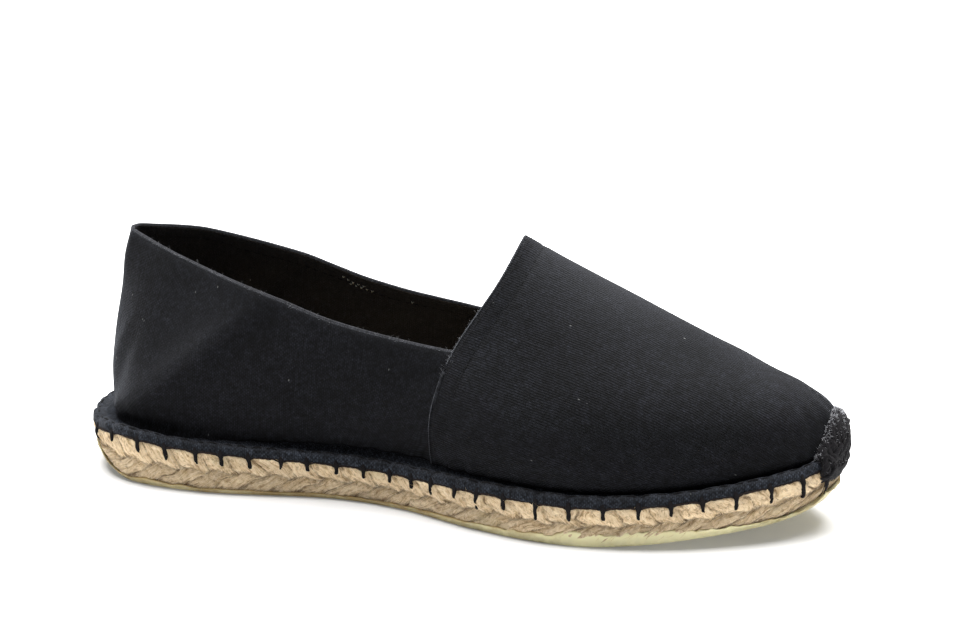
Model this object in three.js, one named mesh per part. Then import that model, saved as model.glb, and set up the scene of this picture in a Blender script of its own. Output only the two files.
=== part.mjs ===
// Espadrille, left foot: jute sole with rubber underside, canvas upper and stitched toe.
// Millimetres. +X runs to the toe, +Y to the outer side of the foot, +Z up. Floor at z = 0.
import * as THREE from 'three';

// Named sizes of the shoe
const LENGTH = 280;
const WIDTH = 98;
const HEEL_HEIGHT = 88.5;
const THROAT_HEIGHT = 96.6;

// Layers of the sole at the flat part of the floor line
const GAP = 0.3;
const RUBBER_TOP = 3.0;
const LIP_TOP = 4.7;
const LIP = 1.1;
const JUTE_BOTTOM = RUBBER_TOP + GAP;
const JUTE_TOP = 17.0;
const RECESS = LIP + 2 * GAP;

// Toe spring in mm from a share of the length on, and the rolled edge at the heel
const TOE_SPRING = 8.0;
const SPRING_START = 0.68;
const HEEL_ROLL = 2.5;
const HEEL_ROLL_END = 0.09;

// Folded hem: how far it rolls above the jute, hangs down its side and stands out
const HEM_ROLL = 2.6;
const HEM_DROP = 3.0;
const HEM_OUT = 1.1;
const HEM_BOTTOM = JUTE_TOP - HEM_DROP;

// Cloth of the upper
const WALL = 1.6;
const SEAM_STEP = 0.9;
const LEDGE = 5.0;
const LEDGE_HEEL = 2.5;
const LEDGE_TOE = -1.5;
const LEDGE_FADE = 22;
const FOOT_RISE = 1.5;
const FOOT_RISE_HEEL = 4.5;
const SWELL_OUT = 4.0;

// Yarn sewn over the toe
const YARN_HALF = 14.5;
const YARN_THICK = 2.2;
const YARN_CORNER = 0.7;
const YARN_REACH = 0.46;
const YARN_TAPER = 0.35;
const YARN_DROP = 1.4;
const YARN_EDGE = 0.35;

// Plait round the side of the sole
const LOBES = 58;
const LOBE_COLUMNS = 4;
const LOBE_DEPTH = 1.0;
const LOBE_SLANT = 0.62;

// How finely each surface is divided
const QUARTER_COLUMNS = 24;
const QUARTER_ROWS = 8;
const THROAT_ROWS = 6;
const VAMP_COLUMNS = 18;
const RUBBER_COLUMNS = 108;

// Foot of the seam where vamp and quarter meet, as a share of the length
const SEAM_FOOT = 0.484;

// Sole outline from above, round from heel to outer side to toe to inner side
const OUTLINE = [
  { along: 0.003, across: 0.000 },
  { along: 0.017, across: 0.155 },
  { along: 0.075, across: 0.295 },
  { along: 0.180, across: 0.342 },
  { along: 0.360, across: 0.360 },
  { along: 0.490, across: 0.435 },
  { along: 0.610, across: 0.505 },
  { along: 0.735, across: 0.485 },
  { along: 0.850, across: 0.370 },
  { along: 0.945, across: 0.190 },
  { along: 0.996, across: 0.000 },
  { along: 0.965, across: -0.185 },
  { along: 0.885, across: -0.345 },
  { along: 0.785, across: -0.455 },
  { along: 0.665, across: -0.495 },
  { along: 0.555, across: -0.430 },
  { along: 0.450, across: -0.315 },
  { along: 0.360, across: -0.280 },
  { along: 0.180, across: -0.342 },
  { along: 0.075, across: -0.295 },
  { along: 0.017, across: -0.155 },
];

// Collar edge of the quarter: walk is 0 at the heel back and 1 at the seam
const COLLAR = [
  { walk: 0.00, along: 0.0570, inner: 0.000, outer: 0.000, upInner: 1.000, upOuter: 1.000 },
  { walk: 0.06, along: 0.0610, inner: -0.030, outer: 0.034, upInner: 0.998, upOuter: 0.998 },
  { walk: 0.12, along: 0.0755, inner: -0.058, outer: 0.068, upInner: 0.989, upOuter: 0.991 },
  { walk: 0.30, along: 0.145, inner: -0.160, outer: 0.165, upInner: 0.944, upOuter: 0.956 },
  { walk: 0.55, along: 0.260, inner: -0.266, outer: 0.187, upInner: 0.864, upOuter: 0.882 },
  { walk: 0.80, along: 0.393, inner: -0.286, outer: 0.207, upInner: 0.742, upOuter: 0.756 },
  { walk: 1.00, along: 0.513, inner: -0.276, outer: 0.222, upInner: 0.682, upOuter: 0.690 },
];

// Swell of the quarter wall between foot and collar, as a share of the full swell
const SWELL = [
  { walk: 0.00, out: 0.22 },
  { walk: 0.12, out: 0.25 },
  { walk: 0.30, out: 1.00 },
  { walk: 0.55, out: 1.00 },
  { walk: 0.80, out: 0.88 },
  { walk: 1.00, out: 0.00 },
];

// Ridge of the vamp from throat to toe
const RIDGE = [
  { along: 0.585, up: 0.997 },
  { along: 0.660, up: 0.894 },
  { along: 0.725, up: 0.805 },
  { along: 0.790, up: 0.714 },
  { along: 0.855, up: 0.628 },
  { along: 0.915, up: 0.552 },
];

// Wires of one vamp rib, low, middle and high, each a share of the way from foot to ridge
const VAMP_INNER = [
  { walk: 0.00, along: [0.05, 0.28, 0.78], across: [-0.15, 0.10, 0.48], up: [0.275, 0.54, 0.83] },
  { walk: 0.33, along: [0.05, 0.28, 0.70], across: [-0.08, 0.07, 0.46], up: [0.27, 0.55, 0.82] },
  { walk: 0.66, along: [0.00, 0.15, 0.50], across: [-0.06, 0.03, 0.42], up: [0.28, 0.58, 0.84] },
  { walk: 1.00, along: [-0.05, 0.12, 0.52], across: [-0.10, -0.04, 0.32], up: [0.29, 0.59, 0.84] },
];
const VAMP_OUTER = [
  { walk: 0.00, along: [0.05, 0.26, 0.78], across: [0.06, 0.40, 0.68], up: [0.275, 0.54, 0.84] },
  { walk: 0.33, along: [0.05, 0.28, 0.70], across: [0.00, 0.24, 0.60], up: [0.27, 0.55, 0.83] },
  { walk: 0.66, along: [0.00, 0.15, 0.50], across: [-0.04, 0.10, 0.48], up: [0.28, 0.58, 0.84] },
  { walk: 1.00, along: [-0.05, 0.12, 0.52], across: [-0.10, -0.04, 0.32], up: [0.29, 0.59, 0.84] },
];

// Section of the folded hem in shares of its ledge, stand-out, roll, drop, gap and heel rise
const HEM = [
  { ledge: 0.74, out: 0.00, roll: 0.46, drop: 0.0, gap: 0, heel: 0.80 },
  { ledge: 0.40, out: 0.00, roll: 1.00, drop: 0.0, gap: 0, heel: 0.45 },
  { ledge: 0.06, out: 0.18, roll: 0.81, drop: 0.0, gap: 0, heel: 0.12 },
  { ledge: 0.00, out: 1.00, roll: 0.08, drop: 0.0, gap: 0, heel: 0.00 },
  { ledge: 0.00, out: 0.91, roll: 0.00, drop: 0.8, gap: 0, heel: 0.00 },
  { ledge: 0.00, out: 0.18, roll: 0.00, drop: 1.0, gap: 0, heel: 0.00 },
  { ledge: 0.00, out: -0.73, roll: 0.00, drop: 1.0, gap: 0, heel: 0.00 },
  { ledge: 0.00, out: -1.00, roll: 0.00, drop: 0.0, gap: 1, heel: 0.00 },
  { ledge: 0.60, out: -0.91, roll: 0.00, drop: 0.0, gap: 1, heel: 0.00 },
  { ledge: 1.00, out: -1.64, roll: 0.00, drop: 0.0, gap: 1, heel: 0.00 },
];

// Side of the jute sole: out in shares of the recess, band from rubber lip to hem, two rows of plait
const JUTE_SIDE = [
  { out: -1.00, band: 0.000, lobe: 0.0 },
  { out: -0.35, band: 0.080, lobe: 0.8 },
  { out: -0.24, band: 0.265, lobe: 1.0 },
  { out: -0.53, band: 0.460, lobe: 0.2 },
  { out: -0.24, band: 0.655, lobe: 1.0 },
  { out: -0.41, band: 0.885, lobe: 0.7 },
  { out: -0.94, band: 1.000, lobe: 0.0 },
];

// Rubber underside: out in shares of the lip's thickness, up in shares of its height
const RUBBER_SIDE = [
  { out: -2.55, up: 0.00 },
  { out: -1.10, up: 0.11 },
  { out: -0.27, up: 0.38 },
  { out: 0.09, up: 0.85 },
  { out: -0.36, up: 1.00 },
  { out: -0.91, up: 0.94 },
  { out: -1.00, up: RUBBER_TOP / LIP_TOP },
];

// Profile of one lobe of the plait across its columns
const LOBE_PROFILE = [0.0, 0.85, 1.0, 0.65];

const COLOURS = {
  jute: 0xd8c396,
  rubber: 0xcfcaa6,
  canvas: 0x34363c,
  yarn: 0x1d1d20,
};

/** Steps 0..1 with soft ends. */
function ease(t) {
  const k = Math.min(Math.max(t, 0), 1);
  return k * k * (3 - 2 * k);
}

/** Reads a table between its rows with a curve that never overshoots a row. */
function read(table, key, name, at, index) {
  const xs = table.map((row) => row[key]);
  const ys = table.map((row) => (index === undefined ? row[name] : row[name][index]));
  const last = xs.length - 1;
  const x = Math.min(Math.max(at, xs[0]), xs[last]);
  let k = 0;
  while (k < last - 1 && x > xs[k + 1]) k += 1;
  const slope = (i) => (ys[i + 1] - ys[i]) / (xs[i + 1] - xs[i]);
  const tangent = (i) => {
    if (i === 0) return slope(0);
    if (i === last) return slope(last - 1);
    const a = slope(i - 1);
    const b = slope(i);
    return a * b <= 0 ? 0 : (2 * a * b) / (a + b);
  };
  const h = xs[k + 1] - xs[k];
  const f = (x - xs[k]) / h;
  const m0 = tangent(k) * h;
  const m1 = tangent(k + 1) * h;
  const rise = ys[k + 1] - ys[k];
  return ys[k] + m0 * f + (3 * rise - 2 * m0 - m1) * f * f + (m0 + m1 - 2 * rise) * f * f * f;
}

// Outline as an evenly walked loop
const outlinePoints = OUTLINE.map((row) => new THREE.Vector3(row.along * LENGTH, row.across * WIDTH, 0));
const outlineCurve = new THREE.CatmullRomCurve3(outlinePoints, true, 'centripetal');
outlineCurve.arcLengthDivisions = 2000;
const PERIMETER = outlineCurve.getLength();

/** Point of the outline at a share of the way round, moved outward by out. */
function rim(share, out) {
  const s = ((share % 1) + 1) % 1;
  const p = outlineCurve.getPointAt(s);
  const t = outlineCurve.getTangentAt(s);
  return new THREE.Vector3(p.x - t.y * out, p.y + t.x * out, 0);
}

/** Share of the way round at which the outline is furthest forward. */
function findToe() {
  let best = 0.5;
  for (let k = 0; k <= 400; k += 1) {
    const s = 0.4 + (0.2 * k) / 400;
    if (rim(s, 0).x > rim(best, 0).x) best = s;
  }
  return best;
}
const TOE = findToe();

/** Share of the way round where one side of the outline passes a given x. */
function shareAt(x, side) {
  let low = side > 0 ? 0 : TOE;
  let high = side > 0 ? TOE : 1;
  for (let k = 0; k < 40; k += 1) {
    const mid = (low + high) / 2;
    const before = side > 0 ? rim(mid, 0).x < x : rim(mid, 0).x > x;
    if (before) low = mid;
    else high = mid;
  }
  return (low + high) / 2;
}
const SEAM = { outer: shareAt(SEAM_FOOT * LENGTH, 1), inner: shareAt(SEAM_FOOT * LENGTH, -1) };

/** Distance walked from the heel back, and from the toe, fading to nothing. */
function nearHeel(share) {
  const d = Math.min(share, 1 - share) * PERIMETER;
  return Math.exp(-((d / LEDGE_FADE) ** 2));
}
function nearToe(share) {
  const d = Math.abs(share - TOE) * PERIMETER;
  return Math.exp(-((d / LEDGE_FADE) ** 2));
}

/** Lift of the sole above the floor line: toe spring and the rolled heel edge. */
function rise(x) {
  const toe = Math.max((x / LENGTH - SPRING_START) / (1 - SPRING_START), 0);
  const heel = Math.max((HEEL_ROLL_END - x / LENGTH) / HEEL_ROLL_END, 0);
  return TOE_SPRING * toe * toe + HEEL_ROLL * heel * heel;
}

/** Width of the ledge between the outline and the foot of the wall. */
function ledge(share) {
  return LEDGE + LEDGE_HEEL * nearHeel(share) + LEDGE_TOE * nearToe(share);
}

/** Foot of the upper's wall on the sole. */
function foot(share) {
  const p = rim(share, -ledge(share));
  p.z = JUTE_TOP + FOOT_RISE + FOOT_RISE_HEEL * nearHeel(share) + rise(p.x);
  return p;
}

/** Point of the hem section at one place round the sole. */
function hemPoint(share, row) {
  const p = rim(share, row.out * HEM_OUT - row.ledge * ledge(share));
  const heel = row.heel * FOOT_RISE_HEEL * nearHeel(share);
  p.z = JUTE_TOP + row.roll * HEM_ROLL - row.drop * HEM_DROP + row.gap * GAP + heel + rise(p.x);
  return p;
}

/** Smooth path through evenly weighted points, at a place counted in points. */
function spline(points, at) {
  const last = points.length - 1;
  const k = Math.min(Math.floor(at), last - 1);
  const f = at - k;
  const get = (i) => {
    if (i < 0) return points[0].clone().multiplyScalar(2).sub(points[1]);
    if (i > last) return points[last].clone().multiplyScalar(2).sub(points[last - 1]);
    return points[i];
  };
  const [a, b, c, d] = [get(k - 1), get(k), get(k + 1), get(k + 2)];
  const out = new THREE.Vector3();
  for (const axis of ['x', 'y', 'z']) {
    const bend = 2 * a[axis] - 5 * b[axis] + 4 * c[axis] - d[axis];
    const twist = -a[axis] + 3 * b[axis] - 3 * c[axis] + d[axis];
    out[axis] = 0.5 * (2 * b[axis] + (c[axis] - a[axis]) * f + bend * f * f + twist * f * f * f);
  }
  return out;
}

/** Wires of half a vamp rib from foot to ridge; walk is 0 at the throat and 1 at the toe. */
function vampWires(walk, side) {
  const seam = side > 0 ? SEAM.outer : SEAM.inner;
  const share = seam + (TOE - seam) * walk;
  const start = foot(share);
  const first = RIDGE[0].along;
  const last = RIDGE[RIDGE.length - 1].along;
  const along = first + (last - first) * (1 - (1 - walk) ** 1.5);
  const ridge = new THREE.Vector3(along * LENGTH, 0, read(RIDGE, 'along', 'up', along) * THROAT_HEIGHT);
  const table = side > 0 ? VAMP_OUTER : VAMP_INNER;
  const wires = [start];
  for (let k = 0; k < 3; k += 1) {
    wires.push(new THREE.Vector3(
      start.x + (ridge.x - start.x) * read(table, 'walk', 'along', walk, k),
      start.y + (ridge.y - start.y) * read(table, 'walk', 'across', walk, k),
      start.z + (ridge.z - start.z) * read(table, 'walk', 'up', walk, k),
    ));
  }
  wires.push(ridge);
  return { share, wires };
}

/** Point of the vamp: at runs 0..4 from the foot of one side up to the ridge. */
function vampPoint(walk, side, at) {
  const own = vampWires(walk, side).wires;
  const other = vampWires(walk, -side).wires;
  return spline([...own, other[3], other[2], other[1], other[0]], at);
}

/** Point of the quarter: walk 0 at the heel back and 1 at the seam, at runs 0..2 foot to collar. */
function quarterPoint(walk, side, at) {
  const seam = side > 0 ? SEAM.outer : SEAM.inner;
  const share = side > 0 ? seam * walk : 1 - (1 - seam) * walk;
  const start = foot(share % 1);
  const top = new THREE.Vector3(
    read(COLLAR, 'walk', 'along', walk) * LENGTH,
    read(COLLAR, 'walk', side > 0 ? 'outer' : 'inner', walk) * WIDTH,
    read(COLLAR, 'walk', side > 0 ? 'upOuter' : 'upInner', walk) * HEEL_HEIGHT,
  );
  const outward = rim(share, 1).sub(rim(share, 0));
  const middle = new THREE.Vector3(
    start.x + (top.x - start.x) * 0.3,
    start.y + (top.y - start.y) * 0.3,
    start.z + (top.z - start.z) * 0.45,
  ).addScaledVector(outward, SWELL_OUT * read(SWELL, 'walk', 'out', walk));
  const edge = vampWires(0, side).wires;
  const blend = ease((walk - 0.7) / 0.3);
  const beyond = top.clone().addScaledVector(top.clone().sub(middle), 0.6);
  middle.lerp(edge[1], blend);
  top.lerp(edge[2], blend);
  beyond.lerp(edge[3], blend);
  return { share, point: spline([start, middle, top, beyond], at) };
}

/** Collects welded vertices and triangles of one closed solid. */
class Solid {
  constructor() {
    this.points = [];
    this.faces = [];
    this.lookup = new Map();
  }

  vertex(p) {
    const key = `${Math.round(p.x * 2e3)},${Math.round(p.y * 2e3)},${Math.round(p.z * 2e3)}`;
    if (!this.lookup.has(key)) {
      this.lookup.set(key, this.points.length);
      this.points.push(p.clone());
    }
    return this.lookup.get(key);
  }

  triangle(a, b, c) {
    if (a === b || b === c || c === a) return;
    this.faces.push([a, b, c]);
  }

  quad(a, b, c, d) {
    this.triangle(a, b, c);
    this.triangle(a, c, d);
  }

  /** Joins rows of equal length; closed rows wrap round. */
  grid(rows, closed) {
    for (let i = 0; i + 1 < rows.length; i += 1) {
      const count = rows[i].length;
      for (let j = 0; j < (closed ? count : count - 1); j += 1) {
        const n = (j + 1) % count;
        this.quad(rows[i][j], rows[i][n], rows[i + 1][n], rows[i + 1][j]);
      }
    }
  }

  /** Closes a ring whose two sides mirror each other, with one strip across after another. */
  lid(ring, flip) {
    const count = ring.length;
    for (let i = 0; i < count / 2; i += 1) {
      const a = ring[i];
      const b = ring[i + 1];
      const c = ring[(count - i - 1) % count];
      const d = ring[(count - i) % count];
      if (flip) this.quad(d, c, b, a);
      else this.quad(a, b, c, d);
    }
  }

  /** Smooth outward direction at every vertex. */
  normals() {
    const sums = this.points.map(() => new THREE.Vector3());
    for (const [a, b, c] of this.faces) {
      const u = this.points[b].clone().sub(this.points[a]);
      const v = this.points[c].clone().sub(this.points[a]);
      u.cross(v);
      sums[a].add(u);
      sums[b].add(u);
      sums[c].add(u);
    }
    return sums.map((n) => n.normalize());
  }

  volume() {
    let total = 0;
    for (const [a, b, c] of this.faces) {
      const u = this.points[b].clone().cross(this.points[c]);
      total += this.points[a].dot(u) / 6;
    }
    return total;
  }

  mesh(name, colour, roughness) {
    if (this.volume() < 0) this.faces.forEach((face) => face.reverse());
    const geometry = new THREE.BufferGeometry();
    const flat = this.points.flatMap((p) => [p.x, p.y, p.z]);
    geometry.setAttribute('position', new THREE.Float32BufferAttribute(flat, 3));
    geometry.setIndex(this.faces.flat());
    geometry.computeVertexNormals();
    const material = new THREE.MeshStandardMaterial({ color: colour, roughness, metalness: 0 });
    const mesh = new THREE.Mesh(geometry, material);
    mesh.name = name;
    return mesh;
  }
}

/** Outer face of the upper's cloth before any thickness, as ribs of points. */
function upperFace() {
  const base = new Solid();
  const quarter = [];
  for (let k = -QUARTER_COLUMNS; k <= QUARTER_COLUMNS; k += 1) {
    const side = k > 0 ? 1 : -1;
    const walk = Math.abs(k) / QUARTER_COLUMNS;
    const column = { share: 0, ids: [] };
    for (let i = 0; i <= QUARTER_ROWS; i += 1) {
      const { share, point } = quarterPoint(walk, side, (2 * i) / QUARTER_ROWS);
      column.share = share;
      column.ids.push(base.vertex(point));
    }
    quarter.push(column);
  }
  const vamp = [];
  for (let j = 0; j <= VAMP_COLUMNS; j += 1) {
    const walk = j / VAMP_COLUMNS;
    const rib = [];
    for (const side of [-1, 1]) {
      const half = [];
      for (let i = 0; i <= QUARTER_ROWS; i += 1) {
        half.push(base.vertex(vampPoint(walk, side, (2 * i) / QUARTER_ROWS)));
      }
      for (let i = 1; i <= THROAT_ROWS; i += 1) {
        half.push(base.vertex(vampPoint(walk, side, 2 + (2 * i) / THROAT_ROWS)));
      }
      rib.push(side < 0 ? half : half.reverse().slice(1));
    }
    const shares = { inner: vampWires(walk, -1).share, outer: vampWires(walk, 1).share };
    vamp.push({ shares, ids: rib.flat() });
  }
  base.grid(quarter.map((c) => c.ids), false);
  const quarterFaces = base.faces;
  base.faces = [];
  base.grid(vamp.map((c) => [...c.ids].reverse()), false);
  const vampFaces = base.faces;
  base.faces = [...quarterFaces, ...vampFaces];
  const normals = base.normals();
  const sign = normals[quarter[QUARTER_COLUMNS].ids[4]].x < 0 ? 1 : -1;
  normals.forEach((n) => n.multiplyScalar(sign));
  return { base, quarter, vamp, quarterFaces, vampFaces, normals };
}

/** Canvas upper: quarter, vamp lapped over it with a raised rear edge, and the folded hem. */
function upper(face) {
  const { base, quarter, vamp, quarterFaces, vampFaces, normals } = face;
  const solid = new Solid();
  const step = new Map();
  vamp.forEach((rib) => {
    const top = rib.ids.length - 1;
    rib.ids.forEach((id, k) => {
      const low = Math.min(k, top - k);
      step.set(id, Math.max(step.get(id) ?? 0, SEAM_STEP * Math.min(low / 2, 1)));
    });
  });
  const shifted = (id, out) => solid.vertex(base.points[id].clone().addScaledVector(normals[id], out));
  const plain = (id) => shifted(id, 0);
  const lapped = (id) => shifted(id, step.get(id));
  const inside = (id) => shifted(id, -WALL);
  quarterFaces.forEach(([a, b, c]) => {
    solid.triangle(plain(a), plain(b), plain(c));
    solid.triangle(inside(c), inside(b), inside(a));
  });
  vampFaces.forEach(([a, b, c]) => {
    solid.triangle(lapped(a), lapped(b), lapped(c));
    solid.triangle(inside(c), inside(b), inside(a));
  });

  // Rear edge of the vamp, standing on the quarter
  const first = vamp[0].ids;
  const end = first.length - 1;
  for (let i = 0; i < QUARTER_ROWS; i += 1) {
    solid.quad(plain(first[i + 1]), plain(first[i]), lapped(first[i]), lapped(first[i + 1]));
    const [a, b] = [first[end - i], first[end - i - 1]];
    solid.quad(plain(a), plain(b), lapped(b), lapped(a));
  }

  // Collar edge round the quarter and over the throat
  const top = QUARTER_ROWS;
  for (let k = 0; k + 1 < quarter.length; k += 1) {
    const a = quarter[k].ids[top];
    const b = quarter[k + 1].ids[top];
    solid.quad(plain(b), plain(a), inside(a), inside(b));
  }
  for (let i = top; i < end - top; i += 1) {
    const a = first[i];
    const b = first[i + 1];
    solid.quad(lapped(a), lapped(b), inside(b), inside(a));
  }
  solid.triangle(plain(first[top]), lapped(first[top]), inside(first[top]));
  solid.triangle(lapped(first[end - top]), plain(first[end - top]), inside(first[end - top]));

  // Hem from the foot of the wall, over the ledge, down the side and back under
  const around = [];
  for (let k = 0; k <= QUARTER_COLUMNS; k += 1) {
    const column = quarter[QUARTER_COLUMNS + k];
    around.push({ share: column.share, id: column.ids[0] });
  }
  for (let j = 1; j <= VAMP_COLUMNS; j += 1) {
    around.push({ share: vamp[j].shares.outer, id: vamp[j].ids[end] });
  }
  for (let j = VAMP_COLUMNS - 1; j >= 0; j -= 1) {
    around.push({ share: vamp[j].shares.inner, id: vamp[j].ids[0] });
  }
  for (let k = 1; k < QUARTER_COLUMNS; k += 1) {
    const column = quarter[k];
    around.push({ share: column.share, id: column.ids[0] });
  }
  const rows = [around.map((c) => plain(c.id))];
  HEM.forEach((row) => rows.push(around.map((c) => solid.vertex(hemPoint(c.share, row)))));
  rows.push(around.map((c) => inside(c.id)));
  solid.grid(rows, true);
  return solid;
}

/** Closed solid made of rings round the sole, from bottom to top. */
function ringed(rings) {
  const solid = new Solid();
  const ids = rings.map((ring) => ring.map((p) => solid.vertex(p)));
  solid.grid(ids, true);
  solid.lid(ids[0], true);
  solid.lid(ids[ids.length - 1], false);
  return solid;
}

/** Jute sole: a plait wound round the edge shows as two rows of slanting lobes. */
function juteSole() {
  const count = LOBES * LOBE_COLUMNS;
  const low = LIP_TOP + GAP;
  const high = HEM_BOTTOM - GAP;
  const middle = JUTE_SIDE[3].band;
  const half = JUTE_SIDE[4].band - middle;
  const sides = [
    { out: -1.06, up: JUTE_BOTTOM, lobe: 0, lean: 0 },
    ...JUTE_SIDE.map((row) => ({
      out: row.out,
      up: low + (high - low) * row.band,
      lobe: row.lobe,
      lean: row.lobe > 0 ? (LOBE_SLANT * Math.min(Math.abs(row.band - middle) / half, 1.6)) / LOBES : 0,
    })),
    { out: -1.18, up: JUTE_TOP, lobe: 0, lean: 0 },
  ];
  const rings = sides.map((row) => {
    const ring = [];
    for (let k = 0; k < count; k += 1) {
      const lobe = LOBE_PROFILE[k % LOBE_COLUMNS] * LOBE_DEPTH * row.lobe;
      const p = rim(k / count + row.lean, row.out * RECESS + lobe);
      p.z = row.up + rise(p.x);
      ring.push(p);
    }
    return ring;
  });
  return ringed(rings);
}

/** Rubber underside, a shallow tray with a flat tread from heel to ball. */
function rubberOutsole() {
  const rings = RUBBER_SIDE.map((row) => {
    const ring = [];
    for (let k = 0; k < RUBBER_COLUMNS; k += 1) {
      const p = rim(k / RUBBER_COLUMNS, row.out * LIP);
      p.z = row.up * LIP_TOP + rise(p.x);
      ring.push(p);
    }
    return ring;
  });
  return ringed(rings);
}

/** Yarn sewn in a thick patch over the tip of the toe, from the jute up onto the vamp. */
function toeYarn() {
  const columns = 12;
  const climb = 8;
  const sheet = new Solid();
  const grid = [];
  for (let k = -columns / 2; k <= columns / 2; k += 1) {
    const across = k / (columns / 2);
    const side = across < 0 ? -1 : 1;
    const seam = side > 0 ? SEAM.outer : SEAM.inner;
    const walk = 1 - (Math.abs(across) * YARN_HALF) / (Math.abs(TOE - seam) * PERIMETER);
    const share = vampWires(walk, side).share;
    const line = [];
    const low = { ledge: 0, out: 0.91, roll: 0, drop: YARN_DROP, gap: 0, heel: 0 };
    [low, HEM[4], HEM[3], HEM[2], HEM[1]].forEach((row) => line.push(hemPoint(share, row)));
    const reach = 4 * YARN_REACH * (1 - YARN_TAPER * across ** 4);
    for (let i = 2; i <= climb; i += 1) line.push(vampPoint(walk, side, (reach * i) / climb));
    grid.push(line.map((p) => sheet.vertex(p)));
  }
  sheet.grid(grid, false);
  const normals = sheet.normals();
  const sign = normals[grid[columns / 2][climb]].x > 0 ? 1 : -1;
  const solid = new Solid();
  const lift = (id, out) => solid.vertex(sheet.points[id].clone().addScaledVector(normals[id], sign * out));
  const bend = 4;
  const clear = (i) => SEAM_STEP + 2 * GAP + (i === bend || i === bend + 1 ? YARN_CORNER : 0);
  const low = grid.map((line) => line.map((id, i) => lift(id, clear(i))));
  const high = grid.map((line, j) => line.map((id, i) => {
    const edge = j === 0 || j === grid.length - 1 || i === 0 || i === line.length - 1;
    return lift(id, clear(i) + YARN_THICK * (edge ? YARN_EDGE : 1));
  }));
  solid.grid(low.map((line) => [...line]).reverse(), false);
  solid.grid(high, false);
  const loop = (g) => [
    ...g[0],
    ...g.slice(1).map((line) => line[line.length - 1]),
    ...g[g.length - 1].slice(0, -1).reverse(),
    ...g.slice(1, -1).map((line) => line[0]).reverse(),
  ];
  solid.grid([loop(low), loop(high)], true);
  return solid;
}

const shoe = new THREE.Group();
shoe.name = 'espadrille';
const face = upperFace();
shoe.add(rubberOutsole().mesh('rubber_outsole', COLOURS.rubber, 0.7));
shoe.add(juteSole().mesh('jute_sole', COLOURS.jute, 0.95));
shoe.add(upper(face).mesh('upper', COLOURS.canvas, 0.92));
shoe.add(toeYarn().mesh('toe_stitching', COLOURS.yarn, 0.9));

// The origin is the middle of the box, on the floor
const box = new THREE.Box3().setFromObject(shoe);
const centre = box.getCenter(new THREE.Vector3());
shoe.children.forEach((mesh) => mesh.geometry.translate(-centre.x, -centre.y, -box.min.z));

export default shoe;
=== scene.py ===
"""Espadrille, left shoe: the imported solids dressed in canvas, jute, rubber and yarn.

Lengths are worked out in millimetres in the drawing frame of the part's source: the heel's back
is at x = 0, +X runs to the toe, +Y to the outer side of the foot and the floor is at z = 0. Each
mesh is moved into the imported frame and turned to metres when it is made.
"""

import logging
import math
from dataclasses import dataclass, field
from enum import Enum

import bpy
import numpy as np
from mathutils import Matrix, Vector


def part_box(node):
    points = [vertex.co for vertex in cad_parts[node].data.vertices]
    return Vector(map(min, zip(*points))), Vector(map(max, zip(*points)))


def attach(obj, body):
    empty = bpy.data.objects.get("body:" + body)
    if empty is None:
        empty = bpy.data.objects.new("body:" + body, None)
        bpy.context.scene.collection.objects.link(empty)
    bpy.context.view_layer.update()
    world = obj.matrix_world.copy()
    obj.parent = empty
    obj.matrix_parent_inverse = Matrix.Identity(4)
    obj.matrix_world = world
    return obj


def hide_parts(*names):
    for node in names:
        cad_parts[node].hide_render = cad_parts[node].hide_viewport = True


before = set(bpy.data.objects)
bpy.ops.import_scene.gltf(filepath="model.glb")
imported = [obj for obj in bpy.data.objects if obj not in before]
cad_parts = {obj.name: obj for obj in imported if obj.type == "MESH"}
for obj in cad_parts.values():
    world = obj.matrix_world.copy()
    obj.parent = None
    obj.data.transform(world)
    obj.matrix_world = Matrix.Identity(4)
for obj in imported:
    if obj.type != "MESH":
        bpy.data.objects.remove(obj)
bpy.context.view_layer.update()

LOG = logging.getLogger("espadrille")
Array = np.ndarray
# Millimetres in one unit of a piece's UV map
UV_UNIT = 100.0

# Sole outline from above, as shares of length and width: heel, outer side, toe, inner side
OUTLINE = (
    (0.003, 0.000), (0.017, 0.155), (0.075, 0.295), (0.180, 0.342), (0.360, 0.360), (0.490, 0.435),
    (0.610, 0.505), (0.735, 0.485), (0.850, 0.370), (0.945, 0.190), (0.996, 0.000), (0.965, -0.185),
    (0.885, -0.345), (0.785, -0.455), (0.665, -0.495), (0.555, -0.430), (0.450, -0.315),
    (0.360, -0.280), (0.180, -0.342), (0.075, -0.295), (0.017, -0.155),
)
# Collar: walk, along, across inner and outer, up inner and outer
COLLAR = (
    (0.00, 0.0570, 0.000, 0.000, 1.000, 1.000), (0.06, 0.0610, -0.030, 0.034, 0.998, 0.998),
    (0.12, 0.0755, -0.058, 0.068, 0.989, 0.991), (0.30, 0.145, -0.160, 0.165, 0.944, 0.956),
    (0.55, 0.260, -0.266, 0.187, 0.864, 0.882), (0.80, 0.393, -0.286, 0.207, 0.742, 0.756),
    (1.00, 0.513, -0.276, 0.222, 0.682, 0.690),
)
# Swell of the quarter wall: walk, out
SWELL = ((0.00, 0.22), (0.12, 0.25), (0.30, 1.00), (0.55, 1.00), (0.80, 0.88), (1.00, 0.00))
# Ridge of the vamp: along, up
RIDGE = ((0.585, 0.997), (0.660, 0.894), (0.725, 0.805), (0.790, 0.714), (0.855, 0.628), (0.915, 0.552))
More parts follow.
